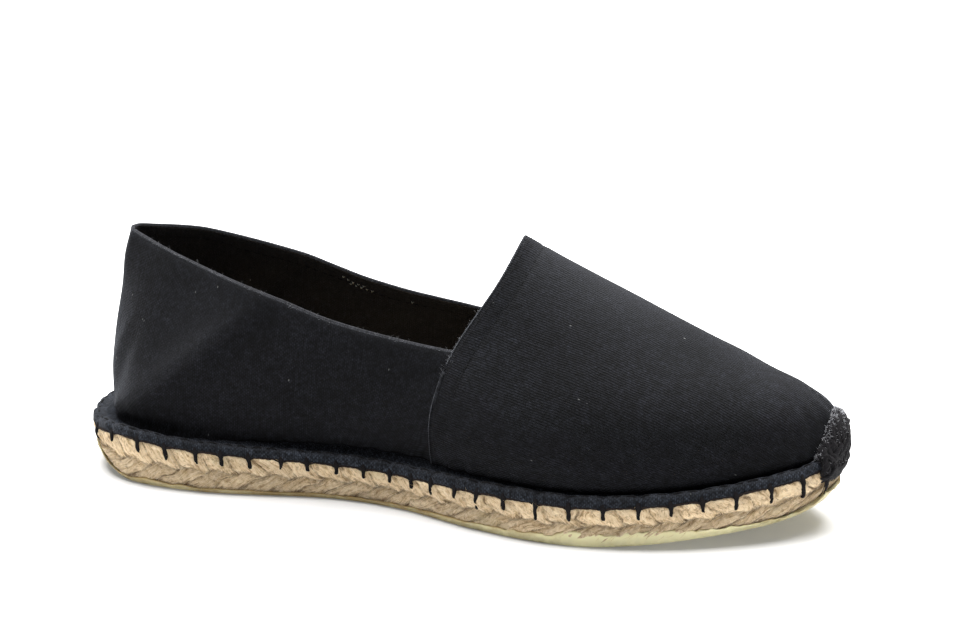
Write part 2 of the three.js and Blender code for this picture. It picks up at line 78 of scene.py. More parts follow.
# Wires of a vamp rib: walk, then along, across and up of the low, middle and high wire
VAMP_INNER = (
    (0.00, 0.05, 0.28, 0.78, -0.15, 0.10, 0.48, 0.275, 0.54, 0.83),
    (0.33, 0.05, 0.28, 0.70, -0.08, 0.07, 0.46, 0.27, 0.55, 0.82),
    (0.66, 0.00, 0.15, 0.50, -0.06, 0.03, 0.42, 0.28, 0.58, 0.84),
    (1.00, -0.05, 0.12, 0.52, -0.10, -0.04, 0.32, 0.29, 0.59, 0.84),
)
VAMP_OUTER = (
    (0.00, 0.05, 0.26, 0.78, 0.06, 0.40, 0.68, 0.275, 0.54, 0.84),
    (0.33, 0.05, 0.28, 0.70, 0.00, 0.24, 0.60, 0.27, 0.55, 0.83),
    (0.66, 0.00, 0.15, 0.50, -0.04, 0.10, 0.48, 0.28, 0.58, 0.84),
    (1.00, -0.05, 0.12, 0.52, -0.10, -0.04, 0.32, 0.29, 0.59, 0.84),
)
# Section of the folded hem, a closed loop: share of the ledge, out, share that follows the hem's
# line rather than the wall's foot, place between lower edge 0 and crest 1, height above the jute
# where it follows the foot, and how far a stitch pulls it in and down
HEM_SECTION = (
    (1.04, -3.00, 0.0, 0.00, 1.60, 0.0, 0.0), (1.04, 0.00, 0.0, 0.00, 1.20, 0.0, 0.0),
    (0.76, 0.00, 0.4, 0.62, 1.10, 0.0, 0.0), (0.44, 0.00, 1.0, 0.94, 0.00, 0.1, 0.4),
    (0.14, 0.00, 1.0, 1.00, 0.00, 0.3, 0.5), (0.00, 0.60, 1.0, 0.76, 0.00, 0.4, 0.5),
    (0.00, 0.90, 1.0, 0.42, 0.00, 0.5, 0.5), (0.00, 0.80, 1.0, 0.13, 0.00, 0.3, 0.8),
    (0.00, 0.25, 1.0, 0.00, 0.00, 0.1, 1.2), (0.00, -0.55, 1.0, 0.10, 0.00, 0.0, 0.8),
    (0.00, -0.90, 1.0, 0.50, 0.00, 0.0, 0.0), (1.04, -3.00, 0.0, 0.00, 0.35, 0.0, 0.0),
)
# Line of the hem above the sprung floor line, in mm: along, lower edge, height of the band
HEM_LINE = (
    (0.000, 14.2, 4.2), (0.018, 14.4, 4.2), (0.035, 15.4, 4.0), (0.055, 16.8, 3.6), (0.075, 17.7, 3.4),
    (0.095, 17.7, 3.4), (0.145, 16.6, 3.5), (0.200, 16.0, 3.6), (0.250, 15.1, 3.7), (0.330, 14.0, 3.9),
    (0.400, 13.6, 4.0), (0.465, 13.6, 4.0), (0.520, 14.4, 4.0), (0.610, 15.1, 4.1), (0.700, 15.0, 4.1),
    (0.775, 15.5, 4.0), (0.860, 16.0, 3.9), (0.925, 16.5, 3.8), (1.000, 16.4, 3.8),
)
# Stitches of the near side, charted from the toe end of the seam to the heel: distance from the
# heel's back along the outline, length below the hem, lean towards the toe at the foot, all in mm
STITCHES = (
    (296.0, 7.0, 0.6), (283.5, 5.4, 0.3), (271.0, 4.9, 0.2), (259.0, 4.6, 0.3), (248.1, 4.2, 0.2),
    (237.0, 4.2, 0.1), (224.7, 4.0, 0.2), (212.6, 4.6, 0.3), (200.7, 5.6, 0.2), (188.2, 4.3, 0.3),
    (177.6, 5.8, 0.2), (168.2, 4.6, 0.5), (157.7, 4.4, 0.1), (148.7, 3.6, 0.4), (139.6, 3.0, 0.3),
    (129.2, 3.2, 0.2), (118.6, 3.1, 0.3), (107.8, 3.4, 0.3), (98.4, 3.6, 0.2), (86.6, 4.1, 0.6),
    (76.4, 4.2, 0.4), (66.9, 4.6, 0.7), (55.1, 5.0, 0.9), (43.9, 4.6, 0.5), (31.2, 3.0, 0.7),
)
# Rubber film on the side of the plait: along, height of its edge in mm, how thickly it covers
FILM = (
    (0.00, 2.8, 0.40), (0.06, 2.5, 0.42), (0.15, 2.2, 0.30), (0.30, 2.0, 0.12), (0.44, 2.1, 0.15),
    (0.54, 3.2, 0.35), (0.64, 4.4, 0.60), (0.70, 5.6, 0.95), (0.80, 5.6, 1.00), (0.88, 3.8, 0.80),
    (0.94, 2.8, 0.60), (1.00, 2.6, 0.50),
)
# Lift of the sole's rounded lower edge: along, mm
CORNER = (
    (0.000, 8.5), (0.015, 7.4), (0.030, 5.2), (0.050, 2.3), (0.085, 0.2), (0.700, 0.0), (0.780, 1.0),
    (0.850, 2.2), (0.930, 2.8), (0.970, 4.6), (0.985, 6.5), (1.000, 8.5),
)


class Side(Enum):
    """The two sides of the foot, as the sign of y."""

    INNER = -1
    OUTER = 1


class Slot(Enum):
    """Material slots of the record."""

    UPPER = "upper"
    SOLE = "jute_sole"
    RUBBER = "rubber_outsole"
    TOE = "toe_stitching"


# Numbers


def read_table(rows: tuple, column: int, at: Array) -> Array:
    """Reads a table between its rows by a cubic that never overshoots a row.

    The slope at an inner row is the harmonic mean of the two spans beside it, or none where they
    turn.

    Args:
        rows: rows of numbers, the first column rising.
        column: the column read.
        at: values of the first column.

    Returns:
        The column's value at each of them.
    """
    table = np.asarray(rows, float)
    xs, ys = table[:, 0], table[:, column]
    slopes = np.diff(ys) / np.diff(xs)
    a, b = slopes[:-1], slopes[1:]
    safe = np.where(a * b > 0, a + b, 1.0)
    tangents = np.concatenate([slopes[:1], np.where(a * b > 0, 2 * a * b / safe, 0.0), slopes[-1:]])
    x = np.clip(np.asarray(at, float), xs[0], xs[-1])
    k = np.clip(np.searchsorted(xs, x) - 1, 0, len(xs) - 2)
    h = xs[k + 1] - xs[k]
    f = (x - xs[k]) / h
    m0, m1, rise = tangents[k] * h, tangents[k + 1] * h, ys[k + 1] - ys[k]
    return ys[k] + m0 * f + (3 * rise - 2 * m0 - m1) * f**2 + (m0 + m1 - 2 * rise) * f**3


def ease(t: Array) -> Array:
    """Goes from 0 to 1 with soft ends: 3t² − 2t³ between them."""
    k = np.clip(t, 0.0, 1.0)
    return k * k * (3.0 - 2.0 * k)


def unit(v: Array) -> Array:
    """Each vector divided by its length."""
    return v / np.maximum(np.linalg.norm(v, axis=-1, keepdims=True), 1e-12)


def walked(points: Array, axis: int) -> Array:
    """Distance walked along one axis of a grid of points, from its first row.

    Args:
        points: grid of points.
        axis: the axis walked along.

    Returns:
        The distance at each point.
    """
    steps = np.linalg.norm(np.diff(points, axis=axis), axis=-1)
    pad = [(0, 0)] * steps.ndim
    pad[axis] = (1, 0)
    return np.cumsum(np.pad(steps, pad), axis=axis)


def spline(wires: list[Array], at: Array) -> Array:
    """Uniform Catmull-Rom curve through wires, with the ends carried on straight.

    Between wires b and c, with a before and d after, the point is half of
    2b + (c−a)f + (2a−5b+4c−d)f² + (3b−a−3c+d)f³.

    Args:
        wires: arrays of points that broadcast to the shape of at.
        at: place along the curve counted in wires.

    Returns:
        Points, one for each value of at.
    """
    stack = np.stack(np.broadcast_arrays(*wires))
    shape = np.broadcast_shapes(stack.shape[1:-1], np.shape(at))
    stack = np.concatenate([2 * stack[:1] - stack[1:2], stack, 2 * stack[-1:] - stack[-2:-1]])
    stack = np.broadcast_to(stack, (len(stack), *shape, 3))
    place = np.broadcast_to(at, shape)
    k = np.clip(np.floor(place).astype(int), 0, len(wires) - 2)
    f = (place - k)[..., None]
    spot = np.indices(shape)
    a, b, c, d = (stack[(k + i, *spot)] for i in range(4))
    return 0.5 * (2 * b + (c - a) * f + (2 * a - 5 * b + 4 * c - d) * f**2 + (3 * b - a - 3 * c + d) * f**3)


def closed_curve(rows: Array, count: int) -> Array:
    """Closed Catmull-Rom loop through rows of numbers, sampled count times for each row.

    Args:
        rows: rows of numbers.
        count: samples for each row.

    Returns:
        The samples, one row each.
    """
    a, b, c, d = (np.roll(rows, s, axis=0)[:, None] for s in (1, 0, -1, -2))
    f = (np.arange(count) / count)[None, :, None]
    loop = 0.5 * (2 * b + (c - a) * f + (2 * a - 5 * b + 4 * c - d) * f**2 + (3 * b - a - 3 * c + d) * f**3)
    return loop.reshape(-1, rows.shape[1])


def hashed(cells: Array, seed: int) -> Array:
    """A number from 0 to 1 for each whole-numbered cell, the same in every run.

    Args:
        cells: whole numbers of each cell, in the last axis.
        seed: which set of numbers.

    Returns:
        One number for each cell.
    """
    mixed = cells.astype(np.int64) @ np.array([73856093, 19349663, 83492791][: cells.shape[-1]])
    mixed = (mixed ^ (seed * 2654435761)) & 0xFFFFFFFF
    mixed = ((mixed ^ (mixed >> 15)) * 2246822519) & 0xFFFFFFFF
    mixed = ((mixed ^ (mixed >> 13)) * 3266489917) & 0xFFFFFFFF
    return (mixed ^ (mixed >> 16)) / 4294967295.0


def soft_noise(points: Array, cell: float, seed: int) -> Array:
    """Smooth random field from −1 to 1.

    Each corner of a lattice of the given cell has a fixed random number, and a point blends the
    corners round it with eased weights.

    Args:
        points: points in two or three dimensions, in mm.
        cell: size of a lattice cell in mm.
        seed: which field.

    Returns:
        One number for each point.
    """
    q = points / cell
    low = np.floor(q)
    f = ease(q - low)
    total = np.zeros(points.shape[:-1])
    for corner in np.ndindex(*(2,) * points.shape[-1]):
        step = np.array(corner)
        weight = np.prod(np.where(step == 1, f, 1 - f), axis=-1)
        total += weight * hashed((low + step).astype(np.int64), seed)
    return total * 2 - 1


# Meshes


@dataclass
class Surface:
    """Points in mm with quads between them, a UV in units of 100 mm and named marks."""

    points: Array
    quads: Array
    uv: Array
    marks: dict[str, Array] = field(default_factory=dict)


def grid_quads(rows: int, columns: int, copies: int = 1, flip: bool = False) -> Array:
    """Quads of one or several grids of points laid out row by row.

    Args:
        rows: rows in each grid.
        columns: points in each row.
        copies: how many grids follow each other.
        flip: whether the faces turn over.

    Returns:
        Point numbers, four for each face.
    """
    first = np.arange(rows - 1)[:, None] * columns + np.arange(columns - 1)[None, :]
    quads = np.stack([first, first + 1, first + columns + 1, first + columns], -1).reshape(-1, 4)
    quads = quads[:, ::-1] if flip else quads
    return (quads[None] + (np.arange(copies) * rows * columns)[:, None, None]).reshape(-1, 4)


def grid_surface(points: Array, uv: Array, marks: dict[str, Array], flip: bool = False) -> Surface:
    """Makes one grid of points a surface.

    Args:
        points: rows by columns by three.
        uv: UV in mm, of the grid's shape or broadcast to it.
        marks: marks of the grid's shape or broadcast to it.
        flip: whether the faces turn over.

    Returns:
        The surface.
    """
    shape = points.shape[:2]
    flat_uv = np.broadcast_to(uv, (*shape, 2)).reshape(-1, 2) / UV_UNIT
    flat_marks = {k: np.broadcast_to(v, shape).reshape(-1) for k, v in marks.items()}
    return Surface(points.reshape(-1, 3), grid_quads(*shape, flip=flip), flat_uv, flat_marks)


def join(parts: list[Surface]) -> Surface:
    """Puts several surfaces in one, and keeps the marks that all of them have.

    Args:
        parts: the surfaces.

    Returns:
        One surface.
    """
    starts = np.cumsum([0] + [len(p.points) for p in parts[:-1]])
    names = set.intersection(*(set(p.marks) for p in parts))
    return Surface(
        np.concatenate([p.points for p in parts]),
        np.concatenate([p.quads + s for p, s in zip(parts, starts)]),
        np.concatenate([p.uv for p in parts]),
        {n: np.concatenate([p.marks[n] for p in parts]) for n in sorted(names)},
    )


def shell(
    outer: Array, inner: Array, uv: Array, marks: dict[str, Array],
    round_top: bool = False, round_start: bool = False, inside: float = 0.0,
) -> Surface:
    """Closed sheet of cloth between two skins, its edges closed and rounded.

    The skins are grids of columns by rows. A rounded edge bulges half a circle beyond the skins.

    Args:
        outer: outer skin.
        inner: inner skin, the same shape.
        uv: UV of the outer skin in mm.
        marks: marks of the outer skin, each columns by rows.
        round_top: whether the last row's edge is rounded.
        round_start: whether the first column's edge is rounded.
        inside: added to the inner skin's marks.

    Returns:
        The closed surface.
    """

    def rim(edge_out: Array, edge_in: Array, beyond: Array, rounded: bool) -> list[Array]:
        """Rings of one edge, from the outer skin to the inner one.

        Args:
            edge_out: edge of the outer skin.
            edge_in: edge of the inner skin.
            beyond: direction out of the edge.
            rounded: whether it bulges.

        Returns:
            The rings.
        """
        if not rounded:
            return [edge_out, edge_in]
        middle, half = (edge_out + edge_in) / 2, (edge_out - edge_in) / 2
        reach = np.linalg.norm(half, axis=-1, keepdims=True)
        turns = np.linspace(0, math.pi, 7)
        return [middle + half * math.cos(t) + beyond * reach * math.sin(t) for t in turns]

    lining = {k: v + inside for k, v in marks.items()}
    pieces = [grid_surface(outer, uv, marks), grid_surface(inner, uv, lining, flip=True)]
    edges = (
        ((slice(None), -1), unit(outer[:, -1] - outer[:, -2]), round_top, False),
        ((slice(None), 0), unit(outer[:, 0] - outer[:, 1]), False, True),
        ((0, slice(None)), unit(outer[0] - outer[1]), round_start, False),
        ((-1, slice(None)), unit(outer[-1] - outer[-2]), False, True),
    )
    for spot, beyond, rounded, flip in edges:
        rings = np.stack(rim(outer[spot], inner[spot], beyond, rounded))
        pieces.append(grid_surface(rings, uv[spot], {k: v[spot] for k, v in marks.items()}, flip))
    return join(pieces)


def sweep(
    path: Array, across: Array, radius: Array, sides: int = 8, plies: int = 0, lay: float = 3.0,
) -> Surface:
    """Carries a round or plied profile along several paths at once, closed at both ends.

    The profile stands square to the path. With plies, its radius is 1 + 0.17·cos(plies·angle −
    2π·distance/lay) times the radius, which twists the plies round each other.

    Args:
        path: strands by points by three.
        across: a direction square to the path, near enough, at each point.
        radius: radius at each point.
        sides: sides of the profile.
        plies: plies of the yarn, or 0 for a plain round one.
        lay: distance in which a ply goes once round, in mm.

    Returns:
        One surface with all the strands, its UV round and along them.
    """
    count, length = path.shape[:2]
    forward = unit(np.gradient(path, axis=1))
    side = unit(np.cross(forward, across))
    up = np.cross(side, forward)
    far = walked(path, 1)
    angle = np.linspace(0, 2 * math.pi, sides + 1)
    wide = np.broadcast_to(radius, (count, length))[..., None]
    if plies:
        wide = wide * (1 + 0.17 * np.cos(plies * (angle - 2 * math.pi * far[..., None] / lay / plies)))
    ring = path[:, :, None] + wide[..., None] * (
        up[:, :, None] * np.cos(angle)[:, None] + side[:, :, None] * np.sin(angle)[:, None]
    )
    ends = [np.repeat(path[:, k, None], sides + 1, axis=1)[:, None] for k in (0, -1)]
    ring = np.concatenate([ends[0], ring, ends[1]], axis=1)
    along = np.concatenate([far[:, :1], far, far[:, -1:]], axis=1)
    uv = np.stack(np.broadcast_arrays(angle / (2 * math.pi) * 0.05, along[..., None] / UV_UNIT), -1)
    quads = grid_quads(length + 2, sides + 1, copies=count)
    tone = np.repeat(hashed(np.arange(count)[:, None], 7), (length + 2) * (sides + 1))
    return Surface(ring.reshape(-1, 3), quads, uv.reshape(-1, 2), {"tone": tone})


def hairs(roots: Array, heading: Array, length: Array, radius: float, curl: float, seed: int) -> Surface:
    """Fine loose fibres: each leaves its root along a heading and bends by a curl that grows as t².

    Args:
        roots: where the fibres start.
        heading: the direction that each leaves in.
        length: length of each in mm.
        radius: radius at the root in mm, which tapers to a third.
        curl: sideways bend at the tip, as a share of the length.
        seed: which set of bends.

    Returns:
        One surface with all the fibres.
    """
    rng = np.random.default_rng(seed)
    t = np.linspace(0, 1, 6)[None, :, None]
    bend = unit(np.cross(heading, rng.normal(size=roots.shape)))
    path = roots[:, None] + (unit(heading)[:, None] * t + bend[:, None] * curl * t**2) * length[:, None, None]
    across = np.broadcast_to(unit(np.cross(heading, bend))[:, None], path.shape)
    taper = radius * (1 - 0.66 * np.linspace(0, 1, 6))
    return sweep(path, across, taper, sides=3)


def loose_directions(count: int, seed: int) -> Array:
    """Random directions, spread evenly over the sphere."""
    return unit(np.random.default_rng(seed).normal(size=(count, 3)))


# The shoe's own form


@dataclass
class ShoeForm:
    """Named sizes of the shoe in mm, and the surfaces that all its pieces are set on."""

    length: float = 280.0
    width: float = 98.0
    heel_height: float = 88.5
    throat_height: float = 96.6
    jute_top: float = 17.0
    toe_spring: float = 8.0
    spring_start: float = 0.68
    heel_roll: float = 2.5
    heel_roll_end: float = 0.09
    ledge: float = 5.0
    ledge_heel: float = 2.5
    ledge_toe: float = -1.5
    ledge_fade: float = 22.0
    foot_rise: float = 1.5
    foot_rise_heel: float = 4.5
    swell: float = 4.0
    tip: float = 2.2
    seam_foot: float = 0.484
    rubber_out: float = 0.099
    corner_depth: float = 9.0
    heel_inset: float = 1.3
    spine_back: float = 34.0
    spine_front: float = 38.0
    samples: int = 400

    def __post_init__(self) -> None:
        """Walks the outline, a closed centripetal Catmull-Rom loop, and finds toe and seams."""
        rows = np.array(OUTLINE) * (self.length, self.width)
        p0, p1, p2, p3 = (np.roll(rows, s, axis=0)[:, None] for s in (1, 0, -1, -2))
        spans = ((p0, p1), (p1, p2), (p2, p3))
        t0, t1, t2 = (np.sum((b - a) ** 2, -1, keepdims=True) ** 0.25 for a, b in spans)
        f = (np.arange(self.samples) / self.samples)[None, :, None]
        m1 = ((p1 - p0) / t0 - (p2 - p0) / (t0 + t1) + (p2 - p1) / t1) * t1
        m2 = ((p2 - p1) / t1 - (p3 - p1) / (t1 + t2) + (p3 - p2) / t2) * t1
        loop = p1 + m1 * f + (-3 * p1 + 3 * p2 - 2 * m1 - m2) * f**2 + (2 * p1 - 2 * p2 + m1 + m2) * f**3
        self.loop = np.vstack([loop.reshape(-1, 2), loop.reshape(-1, 2)[:1]])
        self.far = walked(self.loop, 0)
        self.around = float(self.far[-1])
        self.toe = float(self.far[int(np.argmax(self.loop[:, 0]))] / self.around)
        self.seams = {side: self._share_at(self.seam_foot * self.length, side) for side in Side}
        rubber = self.rim(np.linspace(0, 1, 2000, endpoint=False), self.rubber_out)
        low, high = (np.array(c) * 1000 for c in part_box("rubber_outsole"))
        self.offset = np.array([rubber[:, 0].min() - low[0], rubber[:, 1].max() - high[1], 0.0])

    def _share_at(self, x: float, side: Side) -> float:
        """Share of the way round at which one side of the outline passes x.

        Args:
            x: distance from the heel's back in mm.
            side: the side.

        Returns:
            The share.
        """
        front = int(np.argmax(self.loop[:, 0]))
        part = slice(0, front + 1) if side is Side.OUTER else slice(len(self.loop) - 1, front - 1, -1)
        return float(np.interp(x, self.loop[part, 0], self.far[part] / self.around))

    def rim(self, share: Array, out: Array | float = 0.0) -> Array:
        """Points of the outline at a share of the way round, moved square to it by out.

        Args:
            share: places round the sole.
            out: distance out of the outline in mm.

        Returns:
            Points from above.
        """
        s = np.mod(share, 1.0) * self.around
        here, before, after = (
            np.stack([np.interp(np.mod(s + e, self.around), self.far, self.loop[:, k]) for k in (0, 1)], -1)
            for e in (0.0, -0.05, 0.05)
        )
        t = unit(after - before)
        return here + np.stack([-t[..., 1], t[..., 0]], -1) * np.asarray(out, float)[..., None]

    def spine(self, edge: Array) -> Array:
        """Points of the sole's middle line nearest to an edge, kept short of heel and toe.

        Args:
            edge: points of the edge from above.

        Returns:
            Points halfway between the outline's two sides.
        """
        x = np.clip(edge[..., 0], self.spine_back, self.length - self.spine_front)
        front = int(np.argmax(self.loop[:, 0]))
        outer = np.interp(x, self.loop[: front + 1, 0], self.loop[: front + 1, 1])
        inner = np.interp(x, self.loop[: front - 1 : -1, 0], self.loop[: front - 1 : -1, 1])
        return np.stack([x, (outer + inner) / 2], -1)

    def outward(self, share: Array) -> Array:
        """Level direction square to the outline, away from the shoe."""
        flat = self.rim(share, 1.0) - self.rim(share, 0.0)
        return np.concatenate([flat, np.zeros_like(flat[..., :1])], -1)

    def near_heel(self, share: Array) -> Array:
        """1 at the heel's back, fading as exp(−(distance/fade)²) along the outline."""
        s = np.mod(share, 1.0)
        return np.exp(-((np.minimum(s, 1 - s) * self.around / self.ledge_fade) ** 2))

    def near_toe(self, share: Array) -> Array:
        """1 at the tip of the toe, fading as exp(−(distance/fade)²) along the outline."""
        return np.exp(-(((np.mod(share, 1.0) - self.toe) * self.around / self.ledge_fade) ** 2))

    def rise(self, x: Array) -> Array:
        """Lift of the sole above the floor line: the square of the way into toe and heel.

        Args:
            x: distance from the heel's back in mm.

        Returns:
            The lift in mm.
        """
        toe = np.maximum((x / self.length - self.spring_start) / (1 - self.spring_start), 0)
        heel = np.maximum((self.heel_roll_end - x / self.length) / self.heel_roll_end, 0)
        return self.toe_spring * toe**2 + self.heel_roll * heel**2

    def corner(self, share: Array, out: Array | float) -> Array:
        """Lift of the sole's rounded lower edge at heel and toe, in mm.

        It is the CORNER table's lift times the square of the way from 9 mm inside the outline
        to the outline.

        Args:
            share: places round the sole.
            out: distance from the outline, below 0 inside it.

        Returns:
            The lift.
        """
        along = self.rim(share)[..., 0] / self.length
        near = np.clip(1 + np.asarray(out, float) / self.corner_depth, 0.0, 1.1) ** 2
        return read_table(CORNER, 1, along) * near

    def at_side(self, share: Array, out: Array | float, up: Array | float) -> Array:
        """Points beside the sole: out from the outline, and up from the sprung floor line."""
        flat = self.rim(share, np.asarray(out, float) - self.heel_inset * self.near_heel(share))
        return np.concatenate([flat, (up + self.rise(flat[..., 0]))[..., None]], -1)

    def ledge_width(self, share: Array) -> Array:
        """Width of the ledge between the outline and the foot of the wall."""
        return self.ledge + self.ledge_heel * self.near_heel(share) + self.ledge_toe * self.near_toe(share)

    def foot(self, share: Array) -> Array:
        """Foot of the upper's wall on the sole."""
        up = self.jute_top + self.foot_rise + self.foot_rise_heel * self.near_heel(share)
        return self.at_side(share, -self.ledge_width(share), up)

    def rib_wires(self, walk: Array, side: Side) -> list[Array]:
        """Wires of half the vamp's ribs, foot to ridge; walk is 0 at the throat and 1 at the toe.

        Args:
            walk: place from throat to toe.
            side: the side.

        Returns:
            Five arrays of points.
        """
        start = self.foot(self.seams[side] + (self.toe - self.seams[side]) * walk)
        first, last = RIDGE[0][0], RIDGE[-1][0]
        along = first + (last - first) * (1 - (1 - walk) ** 1.5)
        up = read_table(RIDGE, 1, along) * self.throat_height
        ridge = np.stack([along * self.length, 0 * along, up], -1)
        table = VAMP_OUTER if side is Side.OUTER else VAMP_INNER
        shares = [np.stack([read_table(table, k + j, walk) for j in (0, 3, 6)], -1) for k in (1, 2, 3)]
        return [start, *(start + (ridge - start) * w for w in shares), ridge]

    def vamp(self, walk: Array, at: Array) -> Array:
        """Points of the vamp: at goes 0 to 8 from the inner foot over the ridge to the outer foot.

        The tip swells forward by tip·exp(−(distance from the toe/13)²)·exp(−((at − 1.8)/0.8)²).

        Args:
            walk: place from throat to toe.
            at: place across the vamp.

        Returns:
            Points.
        """
        inner, outer = self.rib_wires(walk, Side.INNER), self.rib_wires(walk, Side.OUTER)
        up = np.minimum(at, 8 - at)
        seam = np.where(np.asarray(at) < 4, self.seams[Side.INNER], self.seams[Side.OUTER])
        aside = (1 - walk) * np.abs(self.toe - seam) * self.around / 13
        swollen = self.tip * np.exp(-(aside**2) - ((up - 1.8) / 0.8) ** 2) * ease(up / 0.6)
        return spline([*inner, *outer[-2::-1]], at) + swollen[..., None] * (0.8, 0.0, 0.5)

    def quarter(self, walk: Array, at: Array, side: Side) -> Array:
        """Points of the quarter: walk 0 at the heel's back and 1 at the seam, at 0 to 2 upwards.

        Args:
            walk: place from heel to seam.
            at: place up the wall.
            side: the side.

        Returns:
            Points.
        """
        seam = self.seams[side]
        share = seam * walk if side is Side.OUTER else 1 - (1 - seam) * walk
        across, up = (3, 5) if side is Side.OUTER else (2, 4)
        start = self.foot(share)
        top = np.stack([
            read_table(COLLAR, 1, walk) * self.length,
            read_table(COLLAR, across, walk) * self.width,
            read_table(COLLAR, up, walk) * self.heel_height,
        ], -1)
        middle = start + (top - start) * (0.3, 0.3, 0.45)
        middle = middle + self.outward(share) * (self.swell * read_table(SWELL, 1, walk))[..., None]
        edge = self.rib_wires(np.zeros(1), side)
        blend = ease((walk - 0.7) / 0.3)[..., None]
        beyond = top + (top - middle) * 0.6
        middle = middle + (edge[1][0] - middle) * blend
        top = top + (edge[2][0] - top) * blend
        beyond = beyond + (edge[3][0] - beyond) * blend
        return spline([start, middle, top, beyond], at)


FORM = ShoeForm()


def stitch_chart() -> Array:
    """Blanket stitches all round: share of the way round, length below the hem, lean, in mm.

    The near side is charted one by one. The far side and the heel go on at 11 to 12 mm.

    Returns:
        One row for each stitch.
    """
    near = np.array(STITCHES)
    gaps = 11.6 + 1.2 * (hashed(np.arange(40)[:, None], 3) - 0.5)
    beyond = STITCHES[-1][0] - np.cumsum(gaps)
    beyond = beyond[beyond > -300.0]
    length = 4.4 + 1.2 * (hashed(np.arange(len(beyond))[:, None], 5) - 0.5)
    rest = np.stack([beyond, length, np.full(len(beyond), 0.3)], -1)
    chart = np.concatenate([near, rest])
    chart[:, 0] = np.mod(1 - chart[:, 0] / FORM.around, 1.0)
    return chart


CHART = stitch_chart()


def from_stitch(share: Array) -> Array:
    """Distance along the outline to the nearest stitch, in mm."""
    gap = np.abs(np.mod(np.asarray(share)[..., None] - CHART[:, 0] + 0.5, 1.0) - 0.5) * FORM.around
    return gap.min(axis=-1)


def hem_edge(share: Array) -> tuple[Array, Array]:
    """Height of the hem's lower edge and of its crest above the sprung floor line, in mm.

    Args:
        share: places round the sole.

    Returns:
        The two heights.
    """
    along = FORM.rim(share)[..., 0] / FORM.length
    edge = read_table(HEM_LINE, 1, along)
    return edge, edge + read_table(HEM_LINE, 2, along)


def hem_section(share: Array, rows: Array) -> Array:
    """Points of the hem: rows of HEM_SECTION's numbers at places round the sole.

    A stitch pulls the section in and down by its own columns times exp(−(distance/1.7)²).

    Args:
        share: places round the sole.
        rows: section numbers, one row for each place or broadcast to them.

    Returns:
        Points.
    """
    pull = np.exp(-((from_stitch(share) / 1.7) ** 2))
    edge, crest = hem_edge(share)
    out = rows[..., 1] - rows[..., 0] * FORM.ledge_width(share) - rows[..., 5] * pull
    out = out - 1.3 * FORM.near_toe(share) ** 2
    foot = FORM.jute_top + rows[..., 4] + FORM.foot_rise_heel * FORM.near_heel(share)
    line = edge + (crest - edge) * rows[..., 3]
    up = foot + (line - foot) * rows[..., 2] - rows[..., 6] * pull
    return FORM.at_side(share, out, up)


def strand_count(share: Array) -> Array:
    """Strands of the plait counted round the sole: one to a stitch, up to three where one is missing.

    Args:
        share: places round the sole.

    Returns:
        The count at each place, rising round the sole.
    """
    order = np.sort(CHART[:, 0])
    steps = np.round(np.diff(order) * FORM.around / 12.3).clip(1, 3)
    count = np.concatenate([[0.0], np.cumsum(steps)])
    whole = count[-1] + 1.0
    knots = np.concatenate([order - 1, order, order + 1])
    return np.interp(share, knots, np.concatenate([count - whole, count, count + whole]))


# Finishes


def linear(colour: str) -> tuple[float, float, float, float]:
    """Linear colour of an sRGB hex code."""
    parts = [int(colour[k : k + 2], 16) / 255 for k in (1, 3, 5)]
    return (*(c / 12.92 if c <= 0.04045 else ((c + 0.055) / 1.055) ** 2.4 for c in parts), 1.0)


@dataclass(frozen=True)
class Recipe:
    """The nodes of one material while it is made."""

    material: bpy.types.Material

    def add(self, kind: str, inputs: dict | tuple = (), out: int | str = 0, **settings: object) -> object:
        """Adds a node with its settings and links.

        Args:
            kind: Blender's name of the node, without the ShaderNode before it.
            inputs: values of its inputs, in order or by name or number, where a socket is linked.
            out: number or name of the output wanted.
            settings: properties of the node.

        Returns:
            That output, or the node where it has none.
        """
        made = self.material.node_tree.nodes.new("ShaderNode" + kind)
        for setting, value in settings.items():
            setattr(made, setting, value)
        for key, value in inputs.items() if isinstance(inputs, dict) else enumerate(inputs):
            if isinstance(value, bpy.types.NodeSocket):
                self.material.node_tree.links.new(value, made.inputs[key])
            else:
                made.inputs[key].default_value = value
        return made.outputs[out] if len(made.outputs) else made

    def end(self, surface: dict, height: object, strength: float, distance: float) -> bpy.types.Material:
        """Ends the material with its bump, its surface shader and its output.

        Args:
            surface: values of the surface shader's inputs.
            height: socket with the relief.
            strength: strength of the bump.
            distance: depth of the relief in metres.

        Returns:
            The material.
        """
        normal = self.add("Bump", {"Strength": strength, "Distance": distance, "Height": height})
        shader = self.add("BsdfPrincipled", {**surface, "Normal": normal})
        self.add("OutputMaterial", {"Surface": shader})
        return self.material


def start_recipe(name: str) -> Recipe:
    """Starts a material without nodes.

    Args:
        name: name of the material.

    Returns:
        Its recipe.
    """
    material = bpy.data.materials.new(name)
    material.use_nodes = True
    material.node_tree.nodes.clear()
    return Recipe(material)


